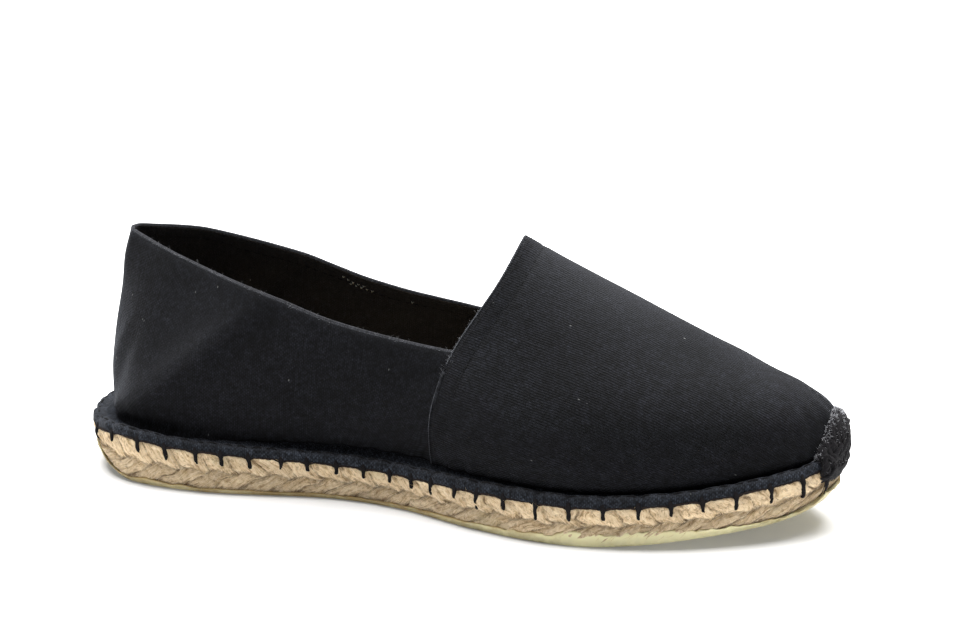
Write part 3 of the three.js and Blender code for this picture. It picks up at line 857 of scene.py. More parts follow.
@dataclass(frozen=True)
class CottonCanvas:
    """Black cotton canvas: spun yarn woven with a fine rib and dyed in the piece.

    The dye and the gaps between the ribs swallow the light, so the face is nearly black, and wear
    lifts grey fibres on the edges. The same grey is painted on as a painted highlight, together with
    wear, on the crests of the heel and the vamp, as a painted highlight on the hem's roll and as
    painted light on the lining. Sizes are in mm. The real cross threads are about 0.5 mm apart, too
    fine to show, so they are drawn at 0.6 to 0.75 mm.
    """

    name: str
    dark: str = "#010102"
    crown: str = "#141519"
    # Grey of edge wear; the same grey is painted on as painted highlight and painted light
    grey: str = "#47484c"
    lint: str = "#9a9b9a"
    haze: str = "#a4a9b4"
    rib: float = 0.85
    pick: float = 0.75
    rib_share: float = 0.7
    rib_sway: float = 1.6
    slub: tuple = (1.25, 0.16, 1.0)
    rough: float = 1.3
    crowns: tuple = (1.45, 2.45)
    mottles: tuple = ((0.035, 0.7, 1.35), (0.28, 0.55, 1.6), (0.8, 0.15, 2.2))
    lint_share: float = 0.45
    bump: float = 0.62

    def weave(self, m: Recipe, place: object) -> object:
        """Relief of the weave: |sin| across the ribs, and sin across times sin along for the picks.

        Args:
            m: the recipe.
            place: socket with the place on the cloth in mm.

        Returns:
            Socket with the height, 0 to 1.
        """
        x = m.add("SeparateXYZ", (place,))
        y = x.node.outputs[1]
        sway = m.add("TexNoise", {"Vector": place, "Scale": 0.09, "Detail": 2.0, "Roughness": 0.55})
        across = m.add("Math", (sway, self.rib_sway, x), operation="MULTIPLY_ADD")
        across = m.add("Math", (across, math.pi / self.rib), operation="MULTIPLY")
        across = m.add("Math", (across,), operation="SINE")
        along = m.add("Math", (y, math.pi / self.pick), operation="MULTIPLY")
        along = m.add("Math", (along,), operation="SINE")
        rib = m.add("Math", (across,), operation="ABSOLUTE")
        over = m.add("Math", (across, along), operation="MULTIPLY")
        over = m.add("Math", (over, 0.5, 0.5), operation="MULTIPLY_ADD")
        over = m.add("Math", (over, 1 - self.rib_share), operation="MULTIPLY")
        return m.add("Math", (rib, self.rib_share, over), operation="MULTIPLY_ADD")

    def material(self) -> bpy.types.Material:
        """Builds the nodes: ribs and picks from the UV in mm, slubs, paler rib crowns, the grey of edge
        wear, painted highlight and painted light, and lint.

        Returns:
            The material.
        """
        m = start_recipe(self.name)
        uv = m.add("UVMap", uv_map="UVMap")
        place = m.add("VectorMath", {0: uv, "Scale": UV_UNIT}, operation="SCALE")
        slub_at = m.add("Mapping", {"Vector": place, "Scale": self.slub})
        slub = m.add("TexNoise", {"Vector": slub_at, "Scale": 1.0, "Detail": 4.0, "Roughness": 0.6})
        fuzz = m.add("TexNoise", {"Vector": place, "Scale": 2.6, "Detail": 5.0, "Roughness": 0.7})
        height = m.add("Math", (slub, self.rough, self.weave(m, place)), operation="MULTIPLY_ADD")
        height = m.add("Math", (fuzz, self.rough, height), operation="MULTIPLY_ADD")
        crowns = m.add("MapRange", (height, *self.crowns))
        colour = m.add("Mix", {0: crowns, 6: linear(self.dark), 7: linear(self.crown)}, 2, data_type="RGBA")
        for scale, low, high in self.mottles:
            mottle = m.add("TexNoise", {"Vector": place, "Scale": scale, "Detail": 3.0, "Roughness": 0.6})
            mottle = m.add("MapRange", (mottle, 0.3, 0.7, low, high))
            colour = m.add("Mix", {0: 1.0, 6: colour, 7: mottle}, 2, data_type="RGBA", blend_type="MULTIPLY")
        # Grey mixed in by one mark: real wear at the edges, painted highlight on crests and the hem's roll,
        # painted light on the lining
        wear_and_light = m.add("Attribute", out="Fac", attribute_name="wear")
        fuzz_breakup = m.add("MapRange", (fuzz, 0.35, 0.62))
        wear_and_light = m.add("Math", (wear_and_light, fuzz_breakup), operation="MULTIPLY")
        colour = m.add("Mix", {0: wear_and_light, 6: colour, 7: linear(self.grey)}, 2, data_type="RGBA")
        # Lint: short hairs, at most one in each cell of a stretched pattern and none in a third of them
        lint_at = m.add("Mapping", {"Vector": place, "Rotation": (0, 0, 0.7), "Scale": (0.19, 0.08, 1.0)})
        cells = m.add("TexVoronoi", {"Vector": lint_at, "Scale": 1.0}, "Distance", feature="F1")
        lint = m.add("MapRange", (cells, 0.045, 0.012))
        lucky = m.add("SeparateColor", (cells.node.outputs["Color"],))
        lucky = m.add("Math", (lucky, 0.3), operation="GREATER_THAN")
        lint = m.add("Math", (lint, lucky), operation="MULTIPLY")
        lint = m.add("Math", (lint, self.lint_share), operation="MULTIPLY")
        colour = m.add("Mix", {0: lint, 6: colour, 7: linear(self.lint)}, 2, data_type="RGBA")
        surface = {
            "Base Color": colour, "Roughness": 0.95, "Specular IOR Level": 0.18,
            "Sheen Weight": 0.28, "Sheen Roughness": 0.24, "Sheen Tint": linear(self.haze),
        }
        return m.end(surface, height, self.bump, 0.00035)


@dataclass(frozen=True)
class JutePlait:
    """Raw jute: retted bast fibres spun loosely, plaited and pressed flat.

    The fibres lie side by side and shine a little along the strand and carry specks of bark and
    pale tufts. The gaps between the strands are painted dark brown, a painted shade. A real fibre
    is about 0.05 mm thick, too fine to show, so the streaks stand for bundles of 0.2 to 1 mm.
    """

    name: str = "raw_jute"
    light: str = "#f4e0bf"
    middle: str = "#d0b081"
    brown: str = "#84633a"
    # Colour of the painted shade in the gaps between strands
    gap: str = "#46331f"
    stain: str = "#8f8a55"
    streaks: tuple = (
        (0.9, 0.14, 0.44, 0.32, 0.55), (2.2, 0.30, 0.43, 0.30, 0.6), (5.5, 0.55, 0.42, 0.30, 0.5),
    )
    flecks: tuple = ((0.47, 0.34, 0.55, "#7a5a38"), (0.55, 0.68, 0.5, "#f6e6c6"))

    def material(self) -> bpy.types.Material:
        """Builds the nodes: fibres along each strand, tone by strand, painted shade in the gaps, flecks
        and stains.

        Returns:
            The material.
        """
        m = start_recipe(self.name)
        uv = m.add("UVMap", uv_map="UVMap")
        place = m.add("VectorMath", {0: uv, "Scale": UV_UNIT}, operation="SCALE")
        body = m.add("TexCoord", out="Object")
        layers = []
        for across, along, *_ in self.streaks:
            at = m.add("Mapping", {"Vector": place, "Scale": (across, along, 1.0)})
            layers.append(m.add("TexNoise", {"Vector": at, "Scale": 1.0, "Detail": 4.0, "Roughness": 0.62}))
        fibre = m.add("Math", (layers[0], layers[1]), operation="ADD")
        fibre = m.add("Math", (fibre, layers[2]), operation="ADD")
        fibre = m.add("Math", (fibre, 0.36), operation="MULTIPLY")
        pale = m.add("MapRange", (fibre, 0.42, 0.66))
        colour = m.add("Mix", {0: pale, 6: linear(self.middle), 7: linear(self.light)}, 2, data_type="RGBA")
        for layer, (_, _, low, high, amount) in zip(layers, self.streaks):
            thin = m.add("MapRange", (layer, low, high))
            thin = m.add("Math", (thin, amount), operation="MULTIPLY")
            colour = m.add("Mix", {0: thin, 6: colour, 7: linear(self.brown)}, 2, data_type="RGBA")
        tone = m.add("Attribute", out="Fac", attribute_name="tone")
        tone = m.add("MapRange", (tone, 0.0, 1.0, 0.78, 1.12))
        colour = m.add("Mix", {0: 1.0, 6: colour, 7: tone}, 2, data_type="RGBA", blend_type="MULTIPLY")
        # Painted shade: the gaps between strands, broken up by the fibres, darken to the gap colour
        gap = m.add("Attribute", out="Fac", attribute_name="gap")
        broken_gap_shade = m.add("Math", (0.5, fibre), operation="SUBTRACT")
        broken_gap_shade = m.add("Math", (broken_gap_shade, 2.4, gap), operation="MULTIPLY_ADD")
        deep = m.add("MapRange", (broken_gap_shade, 0.34, 1.05), interpolation_type="SMOOTHSTEP")
        deep = m.add("Math", (deep, 0.9), operation="MULTIPLY")
        colour = m.add("Mix", {0: deep, 6: colour, 7: linear(self.gap)}, 2, data_type="RGBA")
        tufts = m.add("TexNoise", {"Vector": body, "Scale": 620.0, "Detail": 3.0, "Roughness": 0.7})
        for low, high, amount, tint in self.flecks:
            fleck = m.add("MapRange", (tufts, low, high))
            fleck = m.add("Math", (fleck, amount), operation="MULTIPLY")
            colour = m.add("Mix", {0: fleck, 6: colour, 7: linear(tint)}, 2, data_type="RGBA")
        stain = m.add("TexNoise", {"Vector": body, "Scale": 55.0, "Detail": 2.0, "Roughness": 0.55})
        stain = m.add("MapRange", (stain, 0.6, 0.72))
        stain = m.add("Math", (stain, 0.25), operation="MULTIPLY")
        colour = m.add("Mix", {0: stain, 6: colour, 7: linear(self.stain)}, 2, data_type="RGBA")
        surface = {
            "Base Color": colour, "Roughness": 0.88, "Specular IOR Level": 0.3,
            "Sheen Weight": 0.15, "Sheen Roughness": 0.5,
        }
        return m.end(surface, fibre, 0.9, 0.0012)


@dataclass(frozen=True)
class NaturalRubber:
    """Natural rubber: a thin pale film vulcanised onto the plait, with a dull skin.

    It lets some light in, shows the jute through where it is thin, and is darker olive along the floor line.
    """

    name: str = "natural_rubber"
    pale: str = "#e3dcae"
    tan: str = "#aa9263"
    dirt: str = "#544e2c"

    def material(self) -> bpy.types.Material:
        """Builds the nodes: a mottled film with jute showing through, darker olive at the floor line.

        Returns:
            The material.
        """
        m = start_recipe(self.name)
        body = m.add("TexCoord", out="Object")
        mottle = m.add("TexNoise", {"Vector": body, "Scale": 160.0, "Detail": 4.0, "Roughness": 0.6})
        show = m.add("Attribute", out="Fac", attribute_name="thin")
        patches = m.add("Math", (mottle, 0.5), operation="SUBTRACT")
        show = m.add("Math", (patches, 1.4, show), operation="MULTIPLY_ADD")
        show = m.add("MapRange", (show, 0.2, 0.9))
        colour = m.add("Mix", {0: show, 6: linear(self.pale), 7: linear(self.tan)}, 2, data_type="RGBA")
        # Darker olive along the floor line, in patches
        dirt = m.add("Attribute", out="Fac", attribute_name="dirt")
        floor_line_darkening = m.add("TexNoise", {"Vector": body, "Scale": 420.0, "Detail": 3.0, "Roughness": 0.55})
        floor_line_darkening = m.add("MapRange", (floor_line_darkening, 0.25, 0.6, 0.55, 1.0))
        floor_line_darkening = m.add("Math", (dirt, floor_line_darkening), operation="MULTIPLY")
        colour = m.add("Mix", {0: floor_line_darkening, 6: colour, 7: linear(self.dirt)}, 2, data_type="RGBA")
        surface = {
            "Base Color": colour, "Roughness": 0.5, "Specular IOR Level": 0.4,
            "Subsurface Weight": 0.2, "Subsurface Radius": (1.0, 0.8, 0.35), "Subsurface Scale": 0.0015,
        }
        return m.end(surface, mottle, 0.35, 0.0004)


@dataclass(frozen=True)
class SpunYarn:
    """Spun yarn or loose fibre: plies laid round each other, dull, with ends of fibre standing off.

    The twist shows as slanting lines once in every lay, in mm, paler on their crowns and darker in the
    grooves between them, a painted shade.
    """

    name: str
    dark: str
    crown: str
    lay: float = 1.6
    bump: float = 0.7
    sheen: float = 0.12
    round_uv: float = 5.0
    lines: int = 3

    def material(self) -> bpy.types.Material:
        """Builds the nodes: the twist as slanting lines round the yarn, and a fibrous tone.

        Returns:
            The material.
        """
        m = start_recipe(self.name)
        uv = m.add("UVMap", uv_map="UVMap")
        place = m.add("VectorMath", {0: uv, "Scale": UV_UNIT}, operation="SCALE")
        x = m.add("SeparateXYZ", (place,))
        y = x.node.outputs[1]
        turn = m.add("Math", (x, 2 * math.pi * self.lines / self.round_uv), operation="MULTIPLY")
        along = m.add("Math", (y, 2 * math.pi / self.lay), operation="MULTIPLY")
        turn = m.add("Math", (turn, along), operation="SUBTRACT")
        twist = m.add("Math", (turn,), operation="SINE")
        twist = m.add("Math", (twist,), operation="ABSOLUTE")
        body = m.add("TexCoord", out="Object")
        fuzz = m.add("TexNoise", {"Vector": body, "Scale": 2600.0, "Detail": 4.0, "Roughness": 0.7})
        height = m.add("Math", (fuzz, 0.9, twist), operation="MULTIPLY_ADD")
        # Painted shade: the twist's grooves take the dark colour, its crowns the paler one
        share = m.add("MapRange", (height, 0.5, 1.5))
        colour = m.add("Mix", {0: share, 6: linear(self.dark), 7: linear(self.crown)}, 2, data_type="RGBA")
        surface = {
            "Base Color": colour, "Roughness": 0.85, "Specular IOR Level": 0.2,
            "Sheen Weight": self.sheen, "Sheen Roughness": 0.5,
        }
        return m.end(surface, height, self.bump, 0.0002)


VAMP_CANVAS = CottonCanvas("ribbed_cotton_canvas", crown="#101115")
QUARTER_CANVAS = CottonCanvas("plain_cotton_canvas", rib=0.7, pick=0.62, rib_share=0.45, bump=0.45)
HEM_CANVAS = CottonCanvas(
    "folded_cotton_canvas", dark="#0b0c0f", crown="#2a2e35", rib=0.75, pick=0.7, rib_share=0.4,
)
TOE_YARN = SpunYarn("black_cotton_yarn", "#050406", "#131115", lay=2.2, sheen=0.05)
STITCH_THREAD = SpunYarn("waxed_linen_thread", "#050405", "#141012", lay=1.2, sheen=0.0)
EDGE_THREAD = SpunYarn("brown_black_thread", "#0e0b0a", "#2a211d", lay=1.2, sheen=0.0)
SEWING_THREAD = SpunYarn("black_sewing_thread", "#060607", "#121214", lay=0.8, sheen=0.0)
PALE_THREAD = SpunYarn("pale_sewing_thread", "#9a9c8e", "#f0f1e4", lay=0.8)
GREY_FLUFF = SpunYarn("grey_cotton_fluff", "#45464a", "#8e8f93", lay=3.0, bump=0.2)
PALE_FLUFF = SpunYarn("felted_cotton_fluff", "#85868c", "#cdced2", lay=3.0, bump=0.2)
JUTE_FLUFF = SpunYarn("loose_jute_fibre", "#a98a58", "#e2cb9c", lay=3.0, bump=0.2)


# Placing


def weld(surface: Surface) -> tuple[Array, list[Array], Array]:
    """Merges points that coincide and drops the corners that fall together.

    Args:
        surface: the surface to close.

    Returns:
        The point number in the welded mesh for each point, the corner lists of quads and of
        triangles in the surface's own numbers, and the first point of each merged group.
    """
    cells = np.round(surface.points * 1e4).astype(np.int64)
    _, first, back = np.unique(cells, axis=0, return_index=True, return_inverse=True)
    back = back.reshape(-1)
    quads = back[surface.quads]
    pairs = ((0, 1), (1, 2), (2, 3), (3, 0), (0, 2), (1, 3))
    bad = np.any([quads[:, a] == quads[:, b] for a, b in pairs], axis=0)
    split = np.concatenate([surface.quads[bad][:, [0, 1, 2]], surface.quads[bad][:, [0, 2, 3]]])
    t = back[split]
    whole = (t[:, 0] != t[:, 1]) & (t[:, 1] != t[:, 2]) & (t[:, 2] != t[:, 0])
    return back, [surface.quads[~bad], split[whole]], first


def place(name: str, surface: Surface, finish: object, slot: Slot, stands_for: str = "") -> None:
    """Makes a surface a Blender piece on the shoe's body.

    Args:
        name: name of the piece.
        surface: its surface in mm in the drawing frame.
        finish: the finish whose material it takes.
        slot: the record's slot that it belongs to; not used.
        stands_for: the solid that it replaces, if any.
    """
    back, corner_lists, first = weld(surface)
    sizes = np.concatenate([np.full(len(c), c.shape[1]) for c in corner_lists])
    corners = np.concatenate([c.reshape(-1) for c in corner_lists])
    mesh = bpy.data.meshes.new(name)
    mesh.vertices.add(len(first))
    metres = ((surface.points[first] - FORM.offset) / 1000).astype(np.float32)
    mesh.vertices.foreach_set("co", metres.reshape(-1))
    mesh.loops.add(len(corners))
    mesh.loops.foreach_set("vertex_index", back[corners].astype(np.int32))
    mesh.polygons.add(len(sizes))
    mesh.polygons.foreach_set("loop_start", np.concatenate([[0], np.cumsum(sizes)[:-1]]).astype(np.int32))
    mesh.polygons.foreach_set("use_smooth", np.ones(len(sizes), bool))
    uv = surface.uv[corners].astype(np.float32)
    mesh.uv_layers.new(name="UVMap").data.foreach_set("uv", uv.reshape(-1))
    for mark, values in surface.marks.items():
        attribute = mesh.attributes.new(mark, "FLOAT", "POINT")
        attribute.data.foreach_set("value", values[first].astype(np.float32))
    mesh.update(calc_edges=True)
    mesh.validate()
    piece = bpy.data.objects.new(name, mesh)
    bpy.context.scene.collection.objects.link(piece)
    mesh.materials.append(bpy.data.materials.get(finish.name) or finish.material())
    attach(piece, "root")
    if stands_for:
        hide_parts(stands_for)
    LOG.info("%s: %d faces, %s", name, len(sizes), finish.name)


# Upper


@dataclass
class Upper:
    """Canvas quarter, vamp lapped over it, and the folded hem that is sewn to the sole."""

    wall: float = 1.3
    collar_row: float = 1.985
    seam_step: float = 0.9
    lap: float = 0.07
    quarter_columns: int = 220
    lap_columns: int = 6
    wall_rows: int = 60
    vamp_columns: int = 130
    crown_rows: int = 44
    hem_columns: int = 1100
    # Line of the heel's diagonal crest: distance from the heel's back, height
    crease: tuple = ((4.0, 15.0), (12.0, 22.0), (28.0, 35.0), (54.0, 56.0), (72.0, 70.0), (110.0, 98.0))
    crease_depth: float = 4.8
    crest_cosine: float = 0.78
    far_side: float = 0.4
    # Long folds: depth, height and place of a point on the line, its slope, width, start and end
    long_folds: tuple = (
        (0.55, 30, 70, 0.42, 7, (60, 25), (120, 30)), (-0.5, 58, 100, -0.25, 9, (75, 30), (130, 25)),
    )
    # Steep crest behind the hollow: heights, and how far ahead of the heel's back it stands there
    steep_line: tuple = ((15, 30, 48, 66), (2, 8, 15, 24))
    edge_wear: float = 0.45
    # Painted highlight with wear on the heel's diagonal crest and the panel above it
    crest_light_and_wear: float = 0.26
    # Painted light: grey added to the lining's marks
    lining_painted_light: float = 0.2
    # Painted highlight with wear on the vamp's ridge
    ridge_light_and_wear: float = 0.34
    # Painted highlight on the crest of the hem's roll
    hem_roll_painted_light: float = 0.3
    vamp_wall: float = 1.15
    groove_at: float = 7.4

    def quarter_base(self) -> Array:
        """Face of the quarter with its two laps, columns from the inner lap round the heel.

        Returns:
            Points, columns by rows.
        """
        at = np.linspace(0, self.collar_row, self.wall_rows + 1)[None, :]
        walk = np.linspace(0, 1, self.quarter_columns // 2 + 1)[:, None]
        under = np.linspace(0, self.lap, self.lap_columns + 1)[1:, None]
        one = np.ones_like(at)
        inner = FORM.quarter(walk * one, at * np.ones_like(walk), Side.INNER)
        outer = FORM.quarter(walk * one, at * np.ones_like(walk), Side.OUTER)
        inner_lap = FORM.vamp(under * one, at * np.ones_like(under))
        outer_lap = FORM.vamp(under * one, 8 - at * np.ones_like(under))
        return np.concatenate([inner_lap[::-1], inner[::-1], outer[1:], outer_lap])

    def below_crest(self, points: Array) -> Array:
        """Distance below the diagonal crest of the heel, square to it, in mm."""
        line = np.array(self.crease)
        return (np.interp(points[..., 0], line[:, 0], line[:, 1]) - points[..., 2]) * self.crest_cosine

    def crest_light_and_wear_share(self, points: Array) -> Array:
        """Grey painted on the diagonal crest: a painted highlight on the crest and the lit panel above it,
        together with wear of the crease. It is full on the crest, fades upwards as exp(−(s/14)²), and is
        none below.

        Args:
            points: points of the face.

        Returns:
            Share of the painted grey, 0 to 1.
        """
        x, s = points[..., 0], self.below_crest(points)
        fade = np.exp(-((np.minimum(s, 0) / 14) ** 2)) * (1 - ease(s / 3))
        beside = np.where(points[..., 1] < 0, 1.0, self.far_side)
        return fade * ease((x - 3) / 7) * (1 - ease((x - 40) / 42)) * beside

    def folds(self, points: Array, height: Array) -> Array:
        """Soft folds of the cloth, out of its face in mm.

        A diagonal crest runs on each side from the heel's foot up towards the collar, with a
        hollow ahead of it that deepens as 1 − exp(−s/5) and fades as exp(−s/26). A short
        steep crest stands behind it. The wall tucks in over the hem as exp(−height/7), and the
        heel's back rolls out 9 mm below the collar. A slow noise waves the rest.

        Args:
            points: points of the face.
            height: height of each above the foot of the wall.

        Returns:
            How far each point moves outward.
        """
        x, y, z = points[..., 0], points[..., 1], points[..., 2]
        s = self.below_crest(points)
        hollow = np.where(s > 0, (1 - np.exp(-np.maximum(s, 0) / 5)) * np.exp(-np.maximum(s, 0) / 26), 0)
        crest = 0.9 * np.exp(-((s / 4.5) ** 2))
        reach = ease((x - 6) / 10) * (1 - ease((x - 48) / 42))
        beside = ease((np.abs(y) - 6) / 12) * np.where(y < 0, 1.0, self.far_side)
        move = self.crease_depth * (crest * 0.35 - hollow) * reach * beside
        tuck = -1.1 * np.exp(-height / 7) * ease((x - 20) / 30) * (1 - ease((x - 150) / 60))
        for depth, level, place_at, slope, width, start, end in self.long_folds:
            fold = depth * np.exp(-(((z - level - slope * (x - place_at)) / width) ** 2))
            move = move + fold * ease((x - start[0]) / start[1]) * (1 - ease((x - end[0]) / end[1]))
        ahead = (x - np.interp(z, *self.steep_line)) * 0.9
        steep = 0.65 * np.exp(-((ahead / 2.2) ** 2)) - 0.6 * np.exp(-(((ahead - 5) / 2.5) ** 2))
        steep = steep * ease((z - 16) / 6) * (1 - ease((z - 44) / 20)) * beside
        wave = 0.5 * soft_noise(points, 34.0, 11) + 0.22 * soft_noise(points, 13.0, 12)
        below = (height[:, -1:] - height - 9) / 8
        roll = 1.5 * np.exp(-(below**2)) * np.exp(-((x / 24) ** 2))
        held = ease(height / 9) * (1 - ease((x - 112) / 18))
        return (move + steep) * ease(height / 4) + tuck + wave * held + roll

    def gathers(self, share: Array, height: Array) -> Array:
        """Small dimples of the cloth over each stitch, fading up the wall as exp(−height/5)."""
        pull = np.exp(-((from_stitch(share) / 2.6) ** 2))
        return (0.25 - 0.9 * pull) * np.exp(-height / 5)

    def quarter(self) -> Surface:
        """The quarter: face, inner skin and rounded collar edge.

        Returns:
            The closed surface.
        """
        base = self.quarter_base()
        along = np.gradient(base, axis=0)
        up = np.gradient(base, axis=1)
        normal = unit(np.cross(up, along))
        height = walked(base, 1)
        seam = self.lap_columns
        share = self.quarter_share()
        lapped = np.zeros(len(base))
        lapped[: seam + 1] = ease(np.linspace(1, 0, seam + 1) * 4)
        lapped[-seam - 1:] = ease(np.linspace(0, 1, seam + 1) * 4)
        move = self.folds(base, height) + self.gathers(share[:, None], height) - 0.35 * lapped[:, None]
        outer = base + normal * move[..., None]
        inner = base + normal * (move - self.wall)[..., None]
        run = walked(base, 0)[:, self.wall_rows // 2]
        uv = np.stack(np.broadcast_arrays(run[:, None], height), -1)
        edge = height[:, -1:] - height
        # Grey: real wear along the collar's edge, painted highlight with wear on the heel's crest
        marks = {"wear": np.exp(-edge / 0.9) * self.edge_wear + self.crest_light_and_wear * self.crest_light_and_wear_share(base)}
        # The lining gets grey painted on as painted light
        return shell(outer, inner, uv, marks, round_top=True, inside=self.lining_painted_light)

    def quarter_share(self) -> Array:
        """Share of the way round under each column of the quarter.

        Returns:
            One share for each column.
        """
        walk = np.linspace(0, 1, self.quarter_columns // 2 + 1)
        under = np.linspace(0, self.lap, self.lap_columns + 1)[1:]
        inner, outer = FORM.seams[Side.INNER], FORM.seams[Side.OUTER]
        return np.concatenate([
            (inner + (FORM.toe - inner) * under)[::-1], (1 - (1 - inner) * walk)[::-1],
            (outer * walk)[1:], outer + (FORM.toe - outer) * under,
        ])

    def vamp_places(self) -> tuple[Array, Array]:
        """Walk and wire place of the vamp's grid, its rows closer at the walls.

        Returns:
            The walk of each column and the wire place of each row.
        """
        lower = np.linspace(0, 2, self.wall_rows + 1)
        upper = np.linspace(2, 4, self.crown_rows + 1)[1:]
        at = np.concatenate([lower, upper, 8 - upper[-2::-1], 8 - lower[::-1]])
        return np.linspace(0, 1, self.vamp_columns + 1)[:, None], at[None, :]

    def vamp_base(self) -> tuple[Array, Array]:
        """Face of the vamp and its outward directions; the two halves share one at the toe.

        Returns:
            Points and directions, columns by rows.
        """
        walk, at = self.vamp_places()
        base = FORM.vamp(walk * np.ones_like(at), at * np.ones_like(walk))
        normal = unit(np.cross(np.gradient(base, axis=0), np.gradient(base, axis=1)))
        normal[-1] = unit(normal[-1] + normal[-1, ::-1])
        return base, normal

    def vamp_moves(self, base: Array) -> Array:
        """How far the vamp's outer skin stands off its face, in mm.

        Args:
            base: face of the vamp.

        Returns:
            The distance at each point.
        """
        walk, at = self.vamp_places()
        far = walked(base, 1)
        height = np.minimum(far, far[:, -1:] - far)
        share = np.where(
            at < 4, FORM.seams[Side.INNER] + (FORM.toe - FORM.seams[Side.INNER]) * walk,
            FORM.seams[Side.OUTER] + (FORM.toe - FORM.seams[Side.OUTER]) * walk,
        )
        back = walked(base, 0)
        low = ease(height / 9) * ease(back / 16)
        wave = 0.45 * soft_noise(base, 38.0, 21) + 0.18 * soft_noise(base, 14.0, 22)
        toe = np.abs(share - FORM.toe) * FORM.around
        pucker = 0.2 * np.cos(2 * math.pi * toe / 6.2) * np.exp(-((toe / 34) ** 2))
        pucker = pucker * np.exp(-(((height - 12) / 12) ** 2))
        dip = -1.0 * np.exp(-(((base[..., 0] - 252) / 8) ** 2))
        dip = dip * np.exp(-(((far - far[:, -1:] / 2) / 22) ** 2))
        step = self.seam_step * (0.25 + 0.75 * ease(height / 5)) - 0.6 * ease((height - 30) / 30)
        groove = -0.4 * np.exp(-(((back - self.groove_at) / 0.7) ** 2)) * ease((height - 12) / 20)
        return step + wave * low + self.gathers(share, height) + pucker + dip + groove

    def vamp_uv(self, base: Array) -> Array:
        """UV of the vamp in mm: across the ribs from the crest, and along them.

        Each step down a rib counts only its part square to the crest's direction, so the ribs of
        the cloth stay parallel to the crest.

        Args:
            base: face of the vamp.

        Returns:
            The UV at each point.
        """
        crest = base.shape[1] // 2
        heading = unit(np.gradient(base[:, crest], axis=0))[:, None]
        step = np.diff(base, axis=1)
        square = step - np.sum(step * heading, -1, keepdims=True) * heading
        across = np.pad(np.cumsum(np.linalg.norm(square, axis=-1), axis=1), ((0, 0), (1, 0)))
        across = across - across[:, crest:crest + 1]
        along = base @ np.array([0.86, 0.0, -0.51])
        return np.stack([across, along], -1)

    def vamp(self) -> Surface:
        """The vamp: face raised by the lap, inner skin, and its thick rounded rear edge.

        Returns:
            The closed surface.
        """
        base, normal = self.vamp_base()
        move = self.vamp_moves(base)
        outer = base + normal * move[..., None]
        inner = base + normal * np.minimum(move - self.vamp_wall, -0.2)[..., None]
        back, far = walked(base, 0), walked(base, 1)
        height = np.minimum(far, far[:, -1:] - far)
        # Painted highlight with wear: grey on the vamp's ridge, less towards the toe; real wear on the rear
        # edge
        crest = np.exp(-(((far - far[:, -1:] / 2) / 17) ** 2)) * ease(back / 9)
        crest = crest * (1 - 0.7 * ease((base[..., 0] - 190) / 50))
        edge = np.exp(-back / 0.8) * self.edge_wear * ease((height - 30) / 14)
        marks = {"wear": edge + self.ridge_light_and_wear * crest}
        return shell(outer, inner, self.vamp_uv(base), marks, round_start=True)

    def hem(self) -> Surface:
        """The folded hem, a closed section carried round the sole and drawn in at each stitch.

        Returns:
            The closed surface.
        """
        section = closed_curve(np.array(HEM_SECTION), 4)
        section = np.vstack([section, section[:1]])
        share = np.linspace(0, 1, self.hem_columns + 1)
        points = hem_section(share[:, None], section[None])
        fluff = 0.32 * soft_noise(points, 2.2, 31) + 0.55 * soft_noise(points, 6.0, 32)
        rim = (section[:, 0] < 0.6) & (section[:, 1] > -0.4)
        points[:-1] += (FORM.outward(share)[:-1, None] * 0.7 + (0, 0, 0.5)) * (fluff * rim)[:-1, :, None]
        points[-1] = points[0]
        run = walked(points, 1)
        uv = np.stack(np.broadcast_arrays(share[:, None] * FORM.around, run), -1)
        # Painted highlight: grey on the crest of the hem's roll
        top = np.exp(-(((section[:, 3] - 0.95) / 0.16) ** 2)) * (section[:, 0] < 0.6) * (section[:, 1] > -0.3)
        return grid_surface(points, uv, {"wear": top * self.hem_roll_painted_light}, flip=True)

    def build(self) -> None:
        """Makes and dresses the pieces of the upper."""
        place("quarter_cloth", self.quarter(), QUARTER_CANVAS, Slot.UPPER, "upper")
        place("vamp_cloth", self.vamp(), VAMP_CANVAS, Slot.UPPER)
        place("folded_hem", self.hem(), HEM_CANVAS, Slot.UPPER)


# Sole


